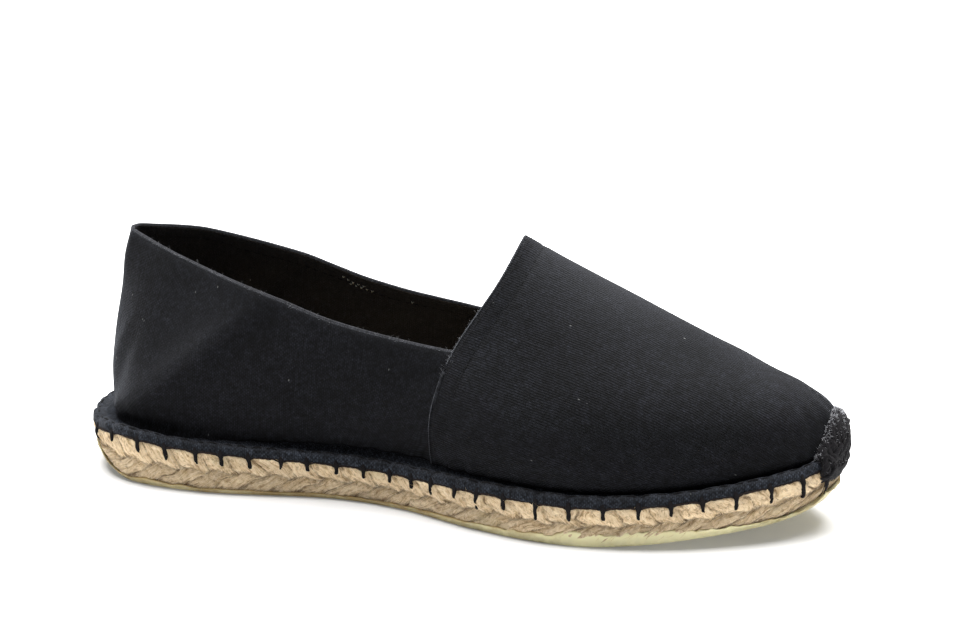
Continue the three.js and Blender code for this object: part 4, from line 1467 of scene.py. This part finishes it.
@dataclass
class PlaitedSole:
    """Jute plait wound and sewn flat: two rows of slanting strands at the side, coils on top."""

    lobes: int = 58
    low: float = 1.7
    columns: int = 1160
    side_rows: int = 40
    coil_rows: int = 36
    coils: float = 5.0
    slant: float = 0.62
    depth: float = 1.4
    strand_curve: float = 2.6
    gap_height: float = 0.44
    zigzag: float = 0.10
    uneven: float = 0.45
    foot_out: float = -1.4
    top_out: float = -2.0
    loose: int = 1700

    def side(self) -> Surface:
        """Side of the plait.

        In each row a strand's height is (1 − |2f−1|^2.6)^0.7 across it, where f is its place
        between two gaps, and it sinks towards the gap between the rows and at both ends. The
        gap between the rows zigzags with the strands.

        Returns:
            The surface.
        """
        share = np.linspace(0, 1, self.columns + 1)[:, None]
        v = np.linspace(0, 1, self.side_rows + 1)[None, :]
        drift = soft_noise(np.stack([share * 60, share * 0], -1), 1.0, 41)
        turn = strand_count(share) + 0.14 * drift * np.sin(math.pi * share) ** 2
        whole = np.round(turn[-1, 0] - turn[0, 0])
        flat = np.stack([share * FORM.around + 0 * v, v * 15 + 0 * share], -1)
        sway = 0.16 * soft_noise(flat, 4.5, 42) + 0.06 * soft_noise(flat, 1.6, 48)
        sway = sway * np.sin(math.pi * share) ** 0.5
        zig = np.abs(2 * np.mod(turn - 0.15, 1) - 1)
        middle = self.gap_height + self.zigzag * (zig - 0.5)
        above = v >= middle
        upper = np.clip((v - middle) / (1 - middle), 0, 1)
        lower = np.clip((middle - v) / middle, 0, 1)
        phase = np.where(above, turn + self.slant * (1 - upper), turn - 0.95 * lower + 0.5) + sway
        f = np.mod(phase, 1)
        strand = np.stack([np.mod(np.floor(phase), whole), above * 1.0 + 0 * phase], -1)
        over = (1 - np.abs(2 * f - 1) ** self.strand_curve) ** 0.7
        t = np.where(above, upper, lower)
        ends = np.where(above, 1 - 0.4 * ease((t - 0.75) / 0.25), 0.55 - 0.4 * ease((t - 0.45) / 0.5))
        sink = (0.25 + 0.75 * ease(t / 0.3)) * ends
        level = over * sink * (1 + self.uneven * (hashed(strand, 43) - 0.5))
        base = np.interp(v, (0, 0.1, 0.28, 0.7, 0.86, 1), (-0.6, -0.5, -0.45, -0.35, -0.55, -1.5))
        top = self.brim(share)
        up = self.low + (top - self.low) * v
        slope = np.where(above, 1.0, -1.0) * flat[..., 1] * 1.2
        laid = np.stack([(flat[..., 0] - slope) * 1.4, (flat[..., 1] + slope * 0.5) * 0.45], -1)
        fuzz = 0.30 * soft_noise(laid, 1.2, 44) + 0.26 * soft_noise(flat, 3.1, 45)
        out = base + self.depth * level + fuzz
        points = FORM.at_side(share + 0 * v, out, up + FORM.corner(share + 0 * v, out) * (1 - v) ** 2)
        foot = self.ring(self.foot_out, self.low, False)[:, None]
        crown = self.ring(self.top_out, top[:, 0], True)[:, None]
        points = np.concatenate([foot, points, crown], axis=1)
        points[-1] = points[0]
        pitch = FORM.around / whole
        tall = (top - self.low) * 0.54
        uv = np.stack([phase * pitch * 0.78, t * tall * 1.25 + above * 40.0], -1)
        uv = np.pad(uv, ((0, 0), (1, 1), (0, 0)), mode="edge")
        # Painted shade: low parts between the strands are marked for darkening
        gap = 1 - np.clip(level * np.where(above, 1.4, 2.4), 0, 1)
        marks = {"gap": gap, "tone": 0.55 * hashed(strand, 46) + 0.45 * above}
        marks = {k: np.pad(value, ((0, 0), (1, 1)), mode="edge") for k, value in marks.items()}
        return grid_surface(points, uv, marks, flip=True)

    def brim(self, share: Array) -> Array:
        """Height of the plait's top border, tucked up behind the hem's lower edge."""
        return hem_edge(share)[0] + 1.3

    def ring(self, out: float, up: Array | float, above: bool) -> Array:
        """Ring at which the side meets the top or the bottom of the sole.

        Args:
            out: distance out of the outline.
            up: height above the floor line.
            above: whether it is the top one.

        Returns:
            Points.
        """
        share = np.linspace(0, 1, self.columns + 1)
        lift = 0.0 if above else FORM.corner(share, out)
        return FORM.at_side(share, np.full_like(share, out), up + lift)

    def lid(self, up: float, coils: bool) -> Surface:
        """Top or bottom of the sole: rings shrinking from the outline to the line of its middle.

        A ring's points go straight from the outline to the spine, which is the outline's middle
        line kept 30 mm short of both ends. On top the coils stand up as |sin(π·coils·t)|^0.5,
        with slanting strands across them.

        Args:
            up: height of the face above the floor line.
            coils: whether the coils of the plait show.

        Returns:
            The closed face.
        """
        rows = self.coil_rows if coils else 6
        share = np.linspace(0, 1, self.columns + 1)[:, None]
        t = np.linspace(0, 1, rows + 1)[None, :]
        edge = FORM.at_side(share, self.top_out if coils else self.foot_out, 0.0)[..., :2]
        spine = FORM.spine(edge)
        flat = edge + (spine - edge) * t[..., None]
        wide = np.linalg.norm(spine - edge, axis=-1)
        ring = t * self.coils
        turn = share * self.lobes * (1 - 0.35 * t) + 0.5 * np.floor(ring)
        lane = np.mod(ring, 1)
        f = np.mod(turn + 0.6 * np.abs(lane - 0.5), 1)
        level = (np.sin(math.pi * lane) ** 2) ** 0.3 * (1 - np.abs(2 * f - 1) ** self.strand_curve) ** 0.5
        inward = wide * t
        if coils:
            high = up + (level - 1) * ease(inward / 2) + (self.brim(share) - up) * (1 - ease(inward / 8))
        else:
            high = up + FORM.corner(share + 0 * t, self.foot_out - inward)
        points = np.concatenate([flat, (high + FORM.rise(flat[..., 0]))[..., None]], -1)
        points[-1] = points[0]
        uv = np.stack([f * 8 + np.floor(ring) * 20 + 0 * share, turn * 9.0], -1)
        strand = np.stack([np.floor(turn) + 0 * ring, np.floor(ring) + 0 * turn], -1)
        # Painted shade: low parts between the coils are marked for darkening
        marks = {"gap": 1 - np.clip(level * 1.15, 0, 1), "tone": hashed(strand, 47)}
        return grid_surface(points, uv, marks, flip=coils)

    def fibres(self) -> Surface:
        """Loose jute fibres that stand off the side of the plait.

        Returns:
            The fibres.
        """
        rng = np.random.default_rng(61)
        count = self.loose
        share = rng.uniform(0, 1, count)
        up = rng.uniform(3.5, 13.0, count)
        roots = FORM.at_side(share, np.where(up > 8, 0.35, 0.0), up)
        roots[:, 2] += FORM.corner(share, 0.0) * (1 - up / 14) ** 2
        outward = FORM.outward(share)
        ahead = np.cross(outward, (0.0, 0.0, 1.0)) * np.where(up > 8, 1.0, -1.0)[:, None]
        lay = ahead + np.array([0, 0, 0.75]) + 0.35 * loose_directions(count, 63)
        lay = lay * rng.choice([-1.0, 1.0], (count, 1))
        heading = lay + outward * rng.uniform(0.02, 0.35, (count, 1))
        return hairs(roots, heading, rng.uniform(1.5, 4.5, count), 0.065, 0.3, 62)

    def build(self) -> None:
        """Makes and dresses the plait and its loose fibres."""
        whole = join([self.side(), self.lid(FORM.jute_top - 0.2, True), self.lid(self.low, False)])
        place("plaited_sole", whole, JutePlait(), Slot.SOLE, "jute_sole")
        place("jute_fibres", self.fibres(), JUTE_FLUFF, Slot.SOLE)


@dataclass
class RubberUnderside:
    """Rubber film moulded on the underside, its edge drawn unevenly up the side of the plait."""

    floor: float = 1.2
    border: float = -9.0
    least_lip: float = 1.9
    # Waves of the film's edge: depth and cell in mm, and which field
    ragged: tuple = ((0.55, 9.0, 51), (0.4, 3.0, 52), (0.2, 1.2, 53))
    columns: int = 1000
    # Section of the tray: out of the outline, height, and share of the film's height
    profile: tuple = (
        (-9.0, 0.0, 0.0), (-6.5, 0.0, 0.0), (-4.0, 0.0, 0.0), (-2.2, 0.0, 0.0), (-0.9, 0.12, 0.0),
        (-0.25, 0.5, 0.0), (0.05, 1.2, 0.0), (0.15, 0.0, 0.7), (0.18, 0.0, 0.85), (0.12, 0.0, 0.96),
        (-0.15, 0.0, 1.0), (-0.6, 0.0, 0.97), (-1.2, 0.0, 0.7), (-1.3, 1.2, 0.0), (-4.0, 1.2, 0.0),
        (-6.5, 1.2, 0.0), (-9.0, 1.2, 0.0),
    )

    def surface(self) -> Surface:
        """Tray: flat tread, rolled lower edge, film up the side, ragged top edge and inner face.

        Returns:
            The closed surface.
        """
        share = np.linspace(0, 1, self.columns + 1)
        along = FORM.rim(share)[:, 0] / FORM.length
        angle = 2 * math.pi * share
        ring = np.stack([np.cos(angle), np.sin(angle)], -1) * FORM.around / (2 * math.pi)
        ragged = sum(depth * soft_noise(ring, cell, seed) for depth, cell, seed in self.ragged)
        cover = read_table(FILM, 2, along)[:, None]
        lip = read_table(FILM, 1, along)[:, None] + ragged[:, None] * (0.4 + 1.3 * cover)
        lip = np.maximum(lip, self.least_lip)
        out, up, way = (row[None] for row in np.array(self.profile).T)
        z = np.where(way > 0, lip * way, up)
        flat = np.stack([share[:, None] * FORM.around + 0 * z, z * 2], -1)
        free = (way > 0) & (out > -1.0) | (up == 1.2) & (out > 0)
        points = FORM.at_side(share[:, None] + 0 * z, out + 0.16 * soft_noise(flat, 2.2, 54) * free, z)
        points[..., 2] += FORM.corner(share[:, None] + 0 * z, out + 0 * z) * (1 - 0.5 * way)
        points[-1] = points[0]
        uv = np.stack([share[:, None] * FORM.around + 0 * z, z + out], -1)
        thin = np.clip(1.0 - cover + 0 * z, 0, 1) + 0.5 * (way > 0.9)
        patches = 0.6 + 0.4 * soft_noise(ring, 14.0, 55)[:, None]
        # Darker towards the floor line, in patches
        dirt = np.exp(-((np.maximum(z, 0) / 1.6) ** 2)) * (out > self.border) * patches
        side = grid_surface(points, uv, {"thin": thin, "dirt": dirt}, flip=True)
        return join([side, self.face(0.0, False), self.face(self.floor, True)])

    def face(self, up: float, above: bool) -> Surface:
        """Flat face of the tray, rings shrinking from its border to the spine.

        Args:
            up: height above the floor line.
            above: whether it faces up.

        Returns:
            The face.
        """
        share = np.linspace(0, 1, self.columns + 1)[:, None]
        t = np.linspace(0, 1, 9)[None, :]
        edge = FORM.at_side(share, self.border, 0.0)[..., :2]
        spine = FORM.spine(edge)
        flat = edge + (spine - edge) * t[..., None]
        z = up + FORM.rise(flat[..., 0])
        points = np.concatenate([flat, z[..., None]], -1)
        points[-1] = points[0]
        return grid_surface(points, flat, {"thin": np.array(0.35), "dirt": np.array(0.25)}, flip=above)

    def build(self) -> None:
        """Makes and dresses the rubber."""
        place("rubber_film", self.surface(), NaturalRubber(), Slot.RUBBER, "rubber_outsole")


# Yarn and thread


@dataclass
class ToeYarn:
    """Coarse yarn sewn over the tip of the toe, from the jute up onto the vamp."""

    half: float = 14.0
    strands: int = 21
    points: int = 60
    radius: float = 0.85
    tall: float = 42.0
    hair_count: int = 3600
    crossing_count: int = 16
    reach: float = 1.2
    taper: float = 0.72
    # Its way up the hem: share of the ledge, out, height above the jute
    rows: tuple = (
        (0.0, 0.0, -4.8), (0.0, 0.3, -2.4), (0.0, 0.5, 0.0), (0.0, 0.4, 2.4), (0.10, 0.3, 4.0),
        (0.50, 0.3, 4.6),
    )
    # Outline of the patch at the tip of the toe: out of the outline, height above the floor line
    front: tuple = (
        (-1.0, 10.0), (-0.5, 13.0), (0.1, 16.6), (0.4, 20.0), (0.5, 23.2), (0.4, 26.0), (0.1, 28.4),
        (-0.4, 30.4), (-1.3, 32.0), (-2.8, 33.2), (-5.0, 33.6),
    )

    def bed(self, across: Array, t: Array, out: Array | float, lift: float = 1.0) -> Array:
        """Place over the toe: across −1 to 1, t from the jute at 0 to the vamp at 1, lifted out.

        The line climbs the hem's section first and then the vamp, and a smooth curve carries it
        over both.

        Args:
            across: place across the patch.
            t: place up the patch.
            out: lift off the patch's ground in mm.
            lift: share of the swelling in the middle of the patch.

        Returns:
            Points.
        """
        side = np.where(across < 0, -1, 1)
        length = np.where(side > 0, FORM.toe - FORM.seams[Side.OUTER], FORM.seams[Side.INNER] - FORM.toe)
        walk = 1 - np.abs(across) * self.half / (length * FORM.around)
        share = FORM.toe - across * self.half / FORM.around
        wires = [
            FORM.at_side(share, out_by - part * FORM.ledge_width(share), FORM.jute_top + up)
            for part, out_by, up in self.rows
        ]
        reach = self.reach * (1 - self.taper * np.abs(across) ** 1.5)
        for step in (0.2, 0.4, 0.6, 0.8, 1.0):
            climb = reach * step
            at = np.where(side < 0, climb, 8 - climb)
            wires.append(FORM.vamp(walk, at))
        swollen = (1 - across**2)[..., None] ** 1.2 * lift
        wires = [
            wire + (FORM.at_side(share, *target) - wire) * swollen for wire, target in zip(wires, self.front)
        ]
        at = t * (len(wires) - 1)
        e = 0.05
        here, up = spline(wires, at), spline(wires, at + e) - spline(wires, at - e)
        level = FORM.outward(share)
        sideways = np.cross(level, (0.0, 0.0, 1.0))
        normal = unit(np.cross(unit(up), sideways))
        normal = normal * np.sign(np.sum(normal * (level + (0, 0, 0.6)), -1, keepdims=True))
        return here + normal * np.asarray(out, float)[..., None]

    def pad(self) -> Surface:
        """Ground of the patch: a lumpy pillow, 1.6 mm thick in the middle and closed at its rim.

        Returns:
            The closed surface.
        """
        across = np.linspace(-1, 1, 45)[:, None]
        t = np.linspace(0, 1, 70)[None, :]
        rim = np.minimum(ease((1 - np.abs(across)) / 0.25), np.minimum(ease(t / 0.08), ease((1 - t) / 0.1)))
        flat = np.stack([across * self.half + 0 * t, t * self.tall + 0 * across], -1)
        lumps = 0.5 * soft_noise(flat, 3.2, 71) + 0.3 * soft_noise(flat, 1.5, 72)
        ragged = 0.94 + 0.06 * soft_noise(np.stack([t * self.tall, t * 0], -1), 3.0, 73)
        high = self.bed(across * ragged + 0 * t, t + 0 * across, 0.7 + (1.5 + lumps) * rim)
        low = self.bed(across * ragged + 0 * t, t + 0 * across, 0.4 - 1.0 * (1 - rim), 0.0)
        return shell(high, low, flat, {"tone": 0 * flat[..., 0]})

    def yarns(self) -> Surface:
        """Strands up the patch, each with its own wander, the lower and upper ends sunk in.

        Returns:
            The strands.
        """
        lane = np.linspace(-0.94, 0.94, self.strands)[:, None]
        t = np.linspace(0.0, 1.0, self.points)[None, :]
        seed = np.arange(self.strands)[:, None]
        start = 0.03 + 0.10 * hashed(seed, 74)[:, None]
        stop = 0.99 - 0.09 * hashed(seed, 75)[:, None]
        way = start + (stop - start) * t
        wander = 0.085 * soft_noise(np.stack([seed * 7.3 + 0 * t, way * self.tall], -1), 8.0, 76)
        sink = ease(t / 0.12) * ease((1 - t) / 0.14)
        bulge = 0.6 * soft_noise(np.stack([seed * 5.1 + 0 * t, way * self.tall], -1), 4.0, 77)
        out = -0.4 + (2.2 + bulge) * sink
        path = self.bed(lane + wander, way, out)
        lifted = self.bed(lane + wander, way, out + 1.0)
        return sweep(path, lifted - path, self.radius * (0.8 + 0.35 * sink), sides=12, plies=2, lay=5.0)

    def crossings(self) -> Surface:
        """Short strands that bind the patch at a slant, low and at its sides.

        Returns:
            The strands.
        """
        seed = np.arange(self.crossing_count)[:, None]
        t = np.linspace(0, 1, 18)[None, :]
        middle = -0.85 + 1.7 * hashed(seed, 81)[:, None]
        height = 0.14 + 0.66 * hashed(seed, 82)[:, None]
        across = np.clip(middle + (t - 0.5) * 0.5, -1.0, 1.0)
        up = height + (t - 0.5) * 0.16 * np.where(hashed(seed, 83)[:, None] > 0.5, 1, -1)
        sink = ease(t / 0.25) * ease((1 - t) / 0.25)
        out = 0.9 + 1.9 * sink
        path = self.bed(across, up, out)
        lifted = self.bed(across, up, out + 1.0)
        radius = self.radius * 0.85 * (0.6 + 0.4 * sink)
        return sweep(path, lifted - path, radius, sides=10, plies=2, lay=4.0)

    def fluff(self) -> Surface:
        """Grey fibres that stand off the top and the left border of the patch.

        Returns:
            The fibres.
        """
        rng = np.random.default_rng(85)
        count = self.hair_count
        across = rng.uniform(-1, 1, count)
        deep = np.clip(0.60 - 0.36 * (across + 1), 0.22, 0.60)
        border = rng.uniform(size=count) < 0.95
        t = np.where(border, 1 - deep * rng.uniform(size=count) ** 1.1, rng.uniform(0.1, 0.9, count))
        roots = self.bed(across, t, 1.7 - 0.9 * ease((t - 0.93) / 0.07))
        outward = self.bed(across, t, 3.0) - self.bed(across, t, 2.0)
        heading = outward * 0.5 + loose_directions(count, 86) * 0.9
        return hairs(roots, heading, rng.uniform(0.7, 1.9, count), 0.08, 0.5, 87)

    def loose_end(self) -> Surface:
        """The point in which the yarn ends in the jute, with a frayed thread.

        Returns:
            The strands.
        """
        t = np.linspace(0, 1, 16)[None, :]
        share = FORM.toe + (10.5 + np.array([[0.0], [1.2], [3.6]]) * t) / FORM.around
        drop = np.array([[7.4], [8.2], [7.2]]) * t
        out = 0.9 + 0.5 * np.sin(math.pi * t) - 0.6 * t + np.array([[0.0], [0.3], [1.3]]) * t
        path = FORM.at_side(share, out, FORM.jute_top - 1.5 - drop)
        radius = np.array([[0.9], [0.55], [0.3]]) * (1 - 0.7 * t)
        return sweep(path, FORM.outward(share), radius, sides=8, plies=2, lay=3.0)

    def build(self) -> None:
        """Makes and dresses the patch."""
        whole = join([self.pad(), self.yarns(), self.crossings(), self.loose_end()])
        place("toe_yarn", whole, TOE_YARN, Slot.TOE, "toe_stitching")
        place("toe_fluff", self.fluff(), PALE_FLUFF, Slot.TOE)


@dataclass
class HemStitches:
    """Blanket stitch that joins hem and plait, the thread along the hem's edge and its running thread."""

    radius: float = 0.76
    running_count: int = 118
    running_length: float = 3.5

    def legs(self) -> Surface:
        """Upright legs: out of the hem's face, down over its edge and into the plait.

        Returns:
            The threads.
        """
        t = np.linspace(0, 1, 22)[None, :]
        share, length, lean = (CHART[:, k, None] for k in range(3))
        edge = hem_edge(share)[0]
        up = 1.2 * (1 - t) + edge - (length + 0.3) * t
        over = np.interp(t, (0.0, 0.2, 0.33, 0.5, 0.8, 0.94, 1.0), (-0.6, 0.35, 0.8, 0.85, 0.75, 0.55, -0.9))
        wobble = 0.18 * soft_noise(np.stack(np.broadcast_arrays(CHART[:, :1] * 900, t * 6), -1), 2.0, 91)
        place_at = share - (lean * t + wobble) / FORM.around
        path = FORM.at_side(place_at, over, up)
        radius = self.radius * np.interp(t, (0, 0.25, 0.6, 1.0), (1.25, 1.3, 1.0, 0.85))
        return sweep(path, FORM.outward(place_at + 0 * t), radius, sides=9, plies=2, lay=3.6)

    def purl(self) -> Surface:
        """Thread from leg to leg along the hem's lower edge, all the way round.

        Returns:
            The thread.
        """
        share = np.linspace(0, 1, 1301)
        row = np.array([[0.0, 0.55, 1.0, 0.03, 0.0, 0.1, 0.8]])
        path = hem_section(share, row)
        path = path + FORM.outward(share) * (0.25 * soft_noise(path, 3.0, 92))[:, None]
        path[-1] = path[0]
        radius = 0.42 + 0.1 * soft_noise(path, 2.0, 93)
        return sweep(path[None], FORM.outward(share)[None], radius[None], sides=8, plies=2, lay=2.4)

    def running(self) -> Surface:
        """Short surface stitches along the top of the hem.

        Returns:
            The threads.
        """
        start = np.arange(self.running_count)[:, None] / self.running_count
        t = np.linspace(0, 1, 9)[None, :]
        share = start + t * self.running_length / FORM.around
        row = np.array([0.16, 0.1, 1.0, 1.0, 0.0, 0.3, 0.8])
        path = hem_section(share, row)
        path[..., 2] += 0.35 * np.sin(math.pi * t) - 0.2
        up = np.broadcast_to((0.0, 0.0, 1.0), path.shape)
        return sweep(path, up, np.array([0.3]), sides=6)

    def build(self) -> None:
        """Makes and dresses the threads of the hem."""
        place("blanket_stitches", self.legs(), STITCH_THREAD, Slot.UPPER)
        place("hem_edge_thread", self.purl(), EDGE_THREAD, Slot.UPPER)
        place("hem_running_thread", self.running(), SEWING_THREAD, Slot.UPPER)


@dataclass
class SeamStitches:
    """Rows of small stitches: two along the rear edge of the vamp, one inside the collar."""

    upper: Upper
    pitch: float = 3.3
    length: float = 2.4
    radius: float = 0.17
    sunk: float = 0.12
    seam_rows: tuple = (1.9, 7.4)
    # Short rows of pale stitches: depth below the collar, first and last share of the collar
    pale: tuple = ((3.2, 0.818, 0.850), (4.4, 0.826, 0.856), (4.0, 0.872, 0.884))

    def dashes(self, line: Array, normal: Array, lift: float, pitch: float, length: float) -> Surface:
        """Stitches of one length along a line, each arching out of the cloth.

        Args:
            line: points of the line.
            normal: outward direction at each.
            lift: height of the stitch's middle above the line in mm.
            pitch: distance from stitch to stitch in mm.
            length: length of a stitch in mm.

        Returns:
            The surface.
        """
        far = walked(line, 0)
        count = int(far[-1] / pitch)
        t = np.linspace(0, 1, 7)[None, :]
        at = np.arange(count)[:, None] * pitch + t * length
        path, out = (
            np.stack([np.interp(at, far, values[:, k]) for k in range(3)], -1) for values in (line, normal)
        )
        path = path + out * (lift * np.sin(math.pi * t) - self.sunk)[..., None]
        return sweep(path, out, np.array([self.radius]), sides=6)

    def rear_line(self, ahead: float) -> tuple[Array, Array]:
        """Line on the vamp's outer skin at a distance ahead of its rear edge.

        Args:
            ahead: distance ahead of the edge in mm.

        Returns:
            Points and outward directions.
        """
        base, normal = self.upper.vamp_base()
        skin = base + normal * self.upper.vamp_moves(base)[..., None]
        far = walked(skin, 0)
        column = np.argmax(far > ahead, axis=0)
        rows = np.arange(base.shape[1])
        share = ((ahead - far[column - 1, rows]) / (far[column, rows] - far[column - 1, rows]))[:, None]
        line = skin[column - 1, rows] * (1 - share) + skin[column, rows] * share
        return line, normal[column, rows]

    def lining_line(self, below: float) -> tuple[Array, Array]:
        """Line on the quarter's inner skin at a distance below the collar.

        Args:
            below: distance below the collar in mm.

        Returns:
            Points and inward directions.
        """
        base = self.upper.quarter_base()
        normal = unit(np.cross(np.gradient(base, axis=1), np.gradient(base, axis=0)))
        height = walked(base, 1)
        move = self.upper.folds(base, height) - self.upper.wall
        skin = base + normal * move[..., None]
        down = height[:, -1:] - height
        row = np.argmin(np.abs(down - below), axis=1)
        columns = np.arange(len(base))
        return skin[columns, row], -normal[columns, row]

    def build(self) -> None:
        """Makes and dresses the stitch rows."""
        rows = [self.dashes(*self.rear_line(ahead), 0.1, self.pitch, self.length) for ahead in self.seam_rows]
        place("seam_stitches", join(rows), SEWING_THREAD, Slot.UPPER)
        line, normal = self.lining_line(5.0)
        dark = self.dashes(line[8:-8], normal[8:-8], 0.2, self.pitch, self.length)
        place("lining_stitches", dark, SEWING_THREAD, Slot.UPPER)
        dots = []
        for below, first, last in self.pale:
            line, normal = self.lining_line(below)
            span = slice(int(len(line) * first), int(len(line) * last))
            dots.append(self.dashes(line[span], normal[span], 0.55, 2.1, 0.8))
        place("pale_lining_stitches", join(dots), PALE_THREAD, Slot.UPPER)


@dataclass
class Frays:
    """Loose fibres of the raw edges of collar and vamp, in mm."""

    upper: Upper
    neat_end: float = 34.0

    def edge_lines(self) -> list[tuple[Array, Array]]:
        """Edge lines of the collar and of the vamp's rear edge, with their outward directions.

        Returns:
            Points and directions of each of the two lines.
        """
        base = self.upper.quarter_base()
        normal = unit(np.cross(np.gradient(base, axis=1), np.gradient(base, axis=0)))
        height = walked(base, 1)
        share = self.upper.quarter_share()[:, None]
        move = self.upper.folds(base, height) + self.upper.gathers(share, height)
        skin = base + normal * move[..., None]
        lap = self.upper.lap_columns
        collar = skin[lap:-lap, -1], normal[lap:-lap, -1]
        vamp, vamp_normal = self.upper.vamp_base()
        vamp = vamp + vamp_normal * self.upper.vamp_moves(vamp)[..., None]
        return [collar, (vamp[0], vamp_normal[0])]

    def fibres(self, line: Array, normal: Array, away: Array, count: int, seed: int) -> Surface:
        """Fibres scattered along an edge, leaning away from the cloth.

        Args:
            line: points of the edge.
            normal: outward direction at each.
            away: direction away from the cloth at each.
            count: number of fibres.
            seed: which set of fibres.

        Returns:
            The fibres.
        """
        rng = np.random.default_rng(seed)
        spot = rng.integers(1, len(line) - 1, count)
        roots = line[spot] - normal[spot] * rng.uniform(0.0, 0.9, (count, 1))
        heading = away[spot] * rng.uniform(0.1, 0.9, (count, 1)) + loose_directions(count, seed + 1) * 0.75
        return hairs(roots, heading, rng.uniform(0.5, 1.8, count), 0.04, 0.6, seed + 2)

    def build(self) -> None:
        """Makes and dresses the frayed edges."""
        (collar, collar_normal), (rear, rear_normal) = self.edge_lines()
        far = walked(rear, 0)
        free = (far > self.neat_end) & (far < far[-1] - self.neat_end)
        rear, rear_normal = rear[free], rear_normal[free]
        up = np.broadcast_to((0.0, 0.0, 1.0), collar.shape)
        back = np.broadcast_to((-1.0, 0.0, 0.25), rear.shape)
        above = self.fibres(collar, collar_normal, up, 380, 101)
        behind = self.fibres(rear, rear_normal, back, 300, 111)
        place("edge_fibres", join([above, behind]), GREY_FLUFF, Slot.UPPER)


# Studio


@dataclass
class Studio:
    """Light table, one soft light above the heel, and the camera of the photograph."""

    azimuth: float = 15.0
    elevation: float = 19.0
    distance: float = 1400.0
    focal: float = 3752.0
    target_x: float = 99.0
    target_y: float = 448.0
    image: tuple = (960, 640)
    room_light: float = 0.19

    def camera(self) -> None:
        """Camera whose line through the heel's foot point meets the fitted pixel."""
        a, e = math.radians(self.azimuth), math.radians(self.elevation)
        back = np.array([math.sin(a) * math.cos(e), -math.cos(a) * math.cos(e), math.sin(e)])
        right = np.array([math.cos(a), math.sin(a), 0.0])
        up = np.cross(back, right)
        shift_x = (self.target_x - self.image[0] / 2) / self.focal * self.distance
        shift_y = -(self.target_y - self.image[1] / 2) / self.focal * self.distance
        at = self.distance * back - shift_x * right - shift_y * up - FORM.offset
        data = bpy.data.cameras.new("camera")
        data.sensor_fit, data.sensor_width = "HORIZONTAL", 36.0
        data.lens = self.focal / self.image[0] * 36.0
        data.clip_start, data.clip_end = 0.05, 20.0
        camera = bpy.data.objects.new("camera", data)
        bpy.context.scene.collection.objects.link(camera)
        turn = np.eye(4)
        turn[:3, 0], turn[:3, 1], turn[:3, 2], turn[:3, 3] = right, up, back, at / 1000
        camera.matrix_world = Matrix(turn.tolist())
        bpy.context.scene.camera = camera

    def light(self, name: str, at: tuple, to: tuple, size: float, power: float) -> None:
        """A square soft light.

        Args:
            name: name of the light.
            at: its place in metres.
            to: the place it shines at.
            size: length of a side in metres.
            power: its power in watts.
        """
        data = bpy.data.lights.new(name, "AREA")
        data.shape, data.size, data.energy = "SQUARE", size, power
        lamp = bpy.data.objects.new(name, data)
        lamp.location = at
        lamp.rotation_euler = (Vector(to) - Vector(at)).to_track_quat("-Z", "Y").to_euler()
        bpy.context.scene.collection.objects.link(lamp)

    def floor(self) -> None:
        """Light table: opal acrylic sheet lit from below, so that shadows on it stay faint."""
        reach = 4.0
        mesh = bpy.data.meshes.new("table_top")
        corners = [(-reach, -reach, 0), (reach, -reach, 0), (reach, reach, 0), (-reach, reach, 0)]
        mesh.from_pydata(corners, [], [(0, 1, 2, 3)])
        top = bpy.data.objects.new("table_top", mesh)
        bpy.context.scene.collection.objects.link(top)
        m = start_recipe("backlit_opal_acrylic")
        shader = m.add("BsdfPrincipled", {
            "Base Color": linear("#d0d0d0"), "Roughness": 0.9, "Specular IOR Level": 0.1,
            "Emission Color": linear("#ffffff"), "Emission Strength": 0.16,
        })
        m.add("OutputMaterial", {"Surface": shader})
        mesh.materials.append(m.material)

    def build(self) -> None:
        """Sets up the studio."""
        self.floor()
        self.camera()
        self.light("overhead_light", (-0.10, 0.42, 1.32), (0.0, 0.0, 0.0), 1.6, 108.0)
        world = bpy.data.worlds.new("white_room")
        world.use_nodes = True
        background = world.node_tree.nodes["Background"]
        background.inputs["Color"].default_value = (1.0, 1.0, 1.0, 1.0)
        background.inputs["Strength"].default_value = self.room_light
        scene = bpy.context.scene
        scene.world = world
        scene.view_settings.view_transform = "Standard"
        scene.view_settings.look = "None"


def main() -> None:
    """Builds the studio and every sub-assembly in order."""
    logging.basicConfig(level=logging.INFO, format="%(name)s: %(message)s")
    upper = Upper()
    parts = (
        Studio(), PlaitedSole(), RubberUnderside(), upper,
        ToeYarn(), HemStitches(), SeamStitches(upper), Frays(upper),
    )
    for part in parts:
        part.build()
        LOG.info("%s built", type(part).__name__)


if __name__ == "__main__":
    main()
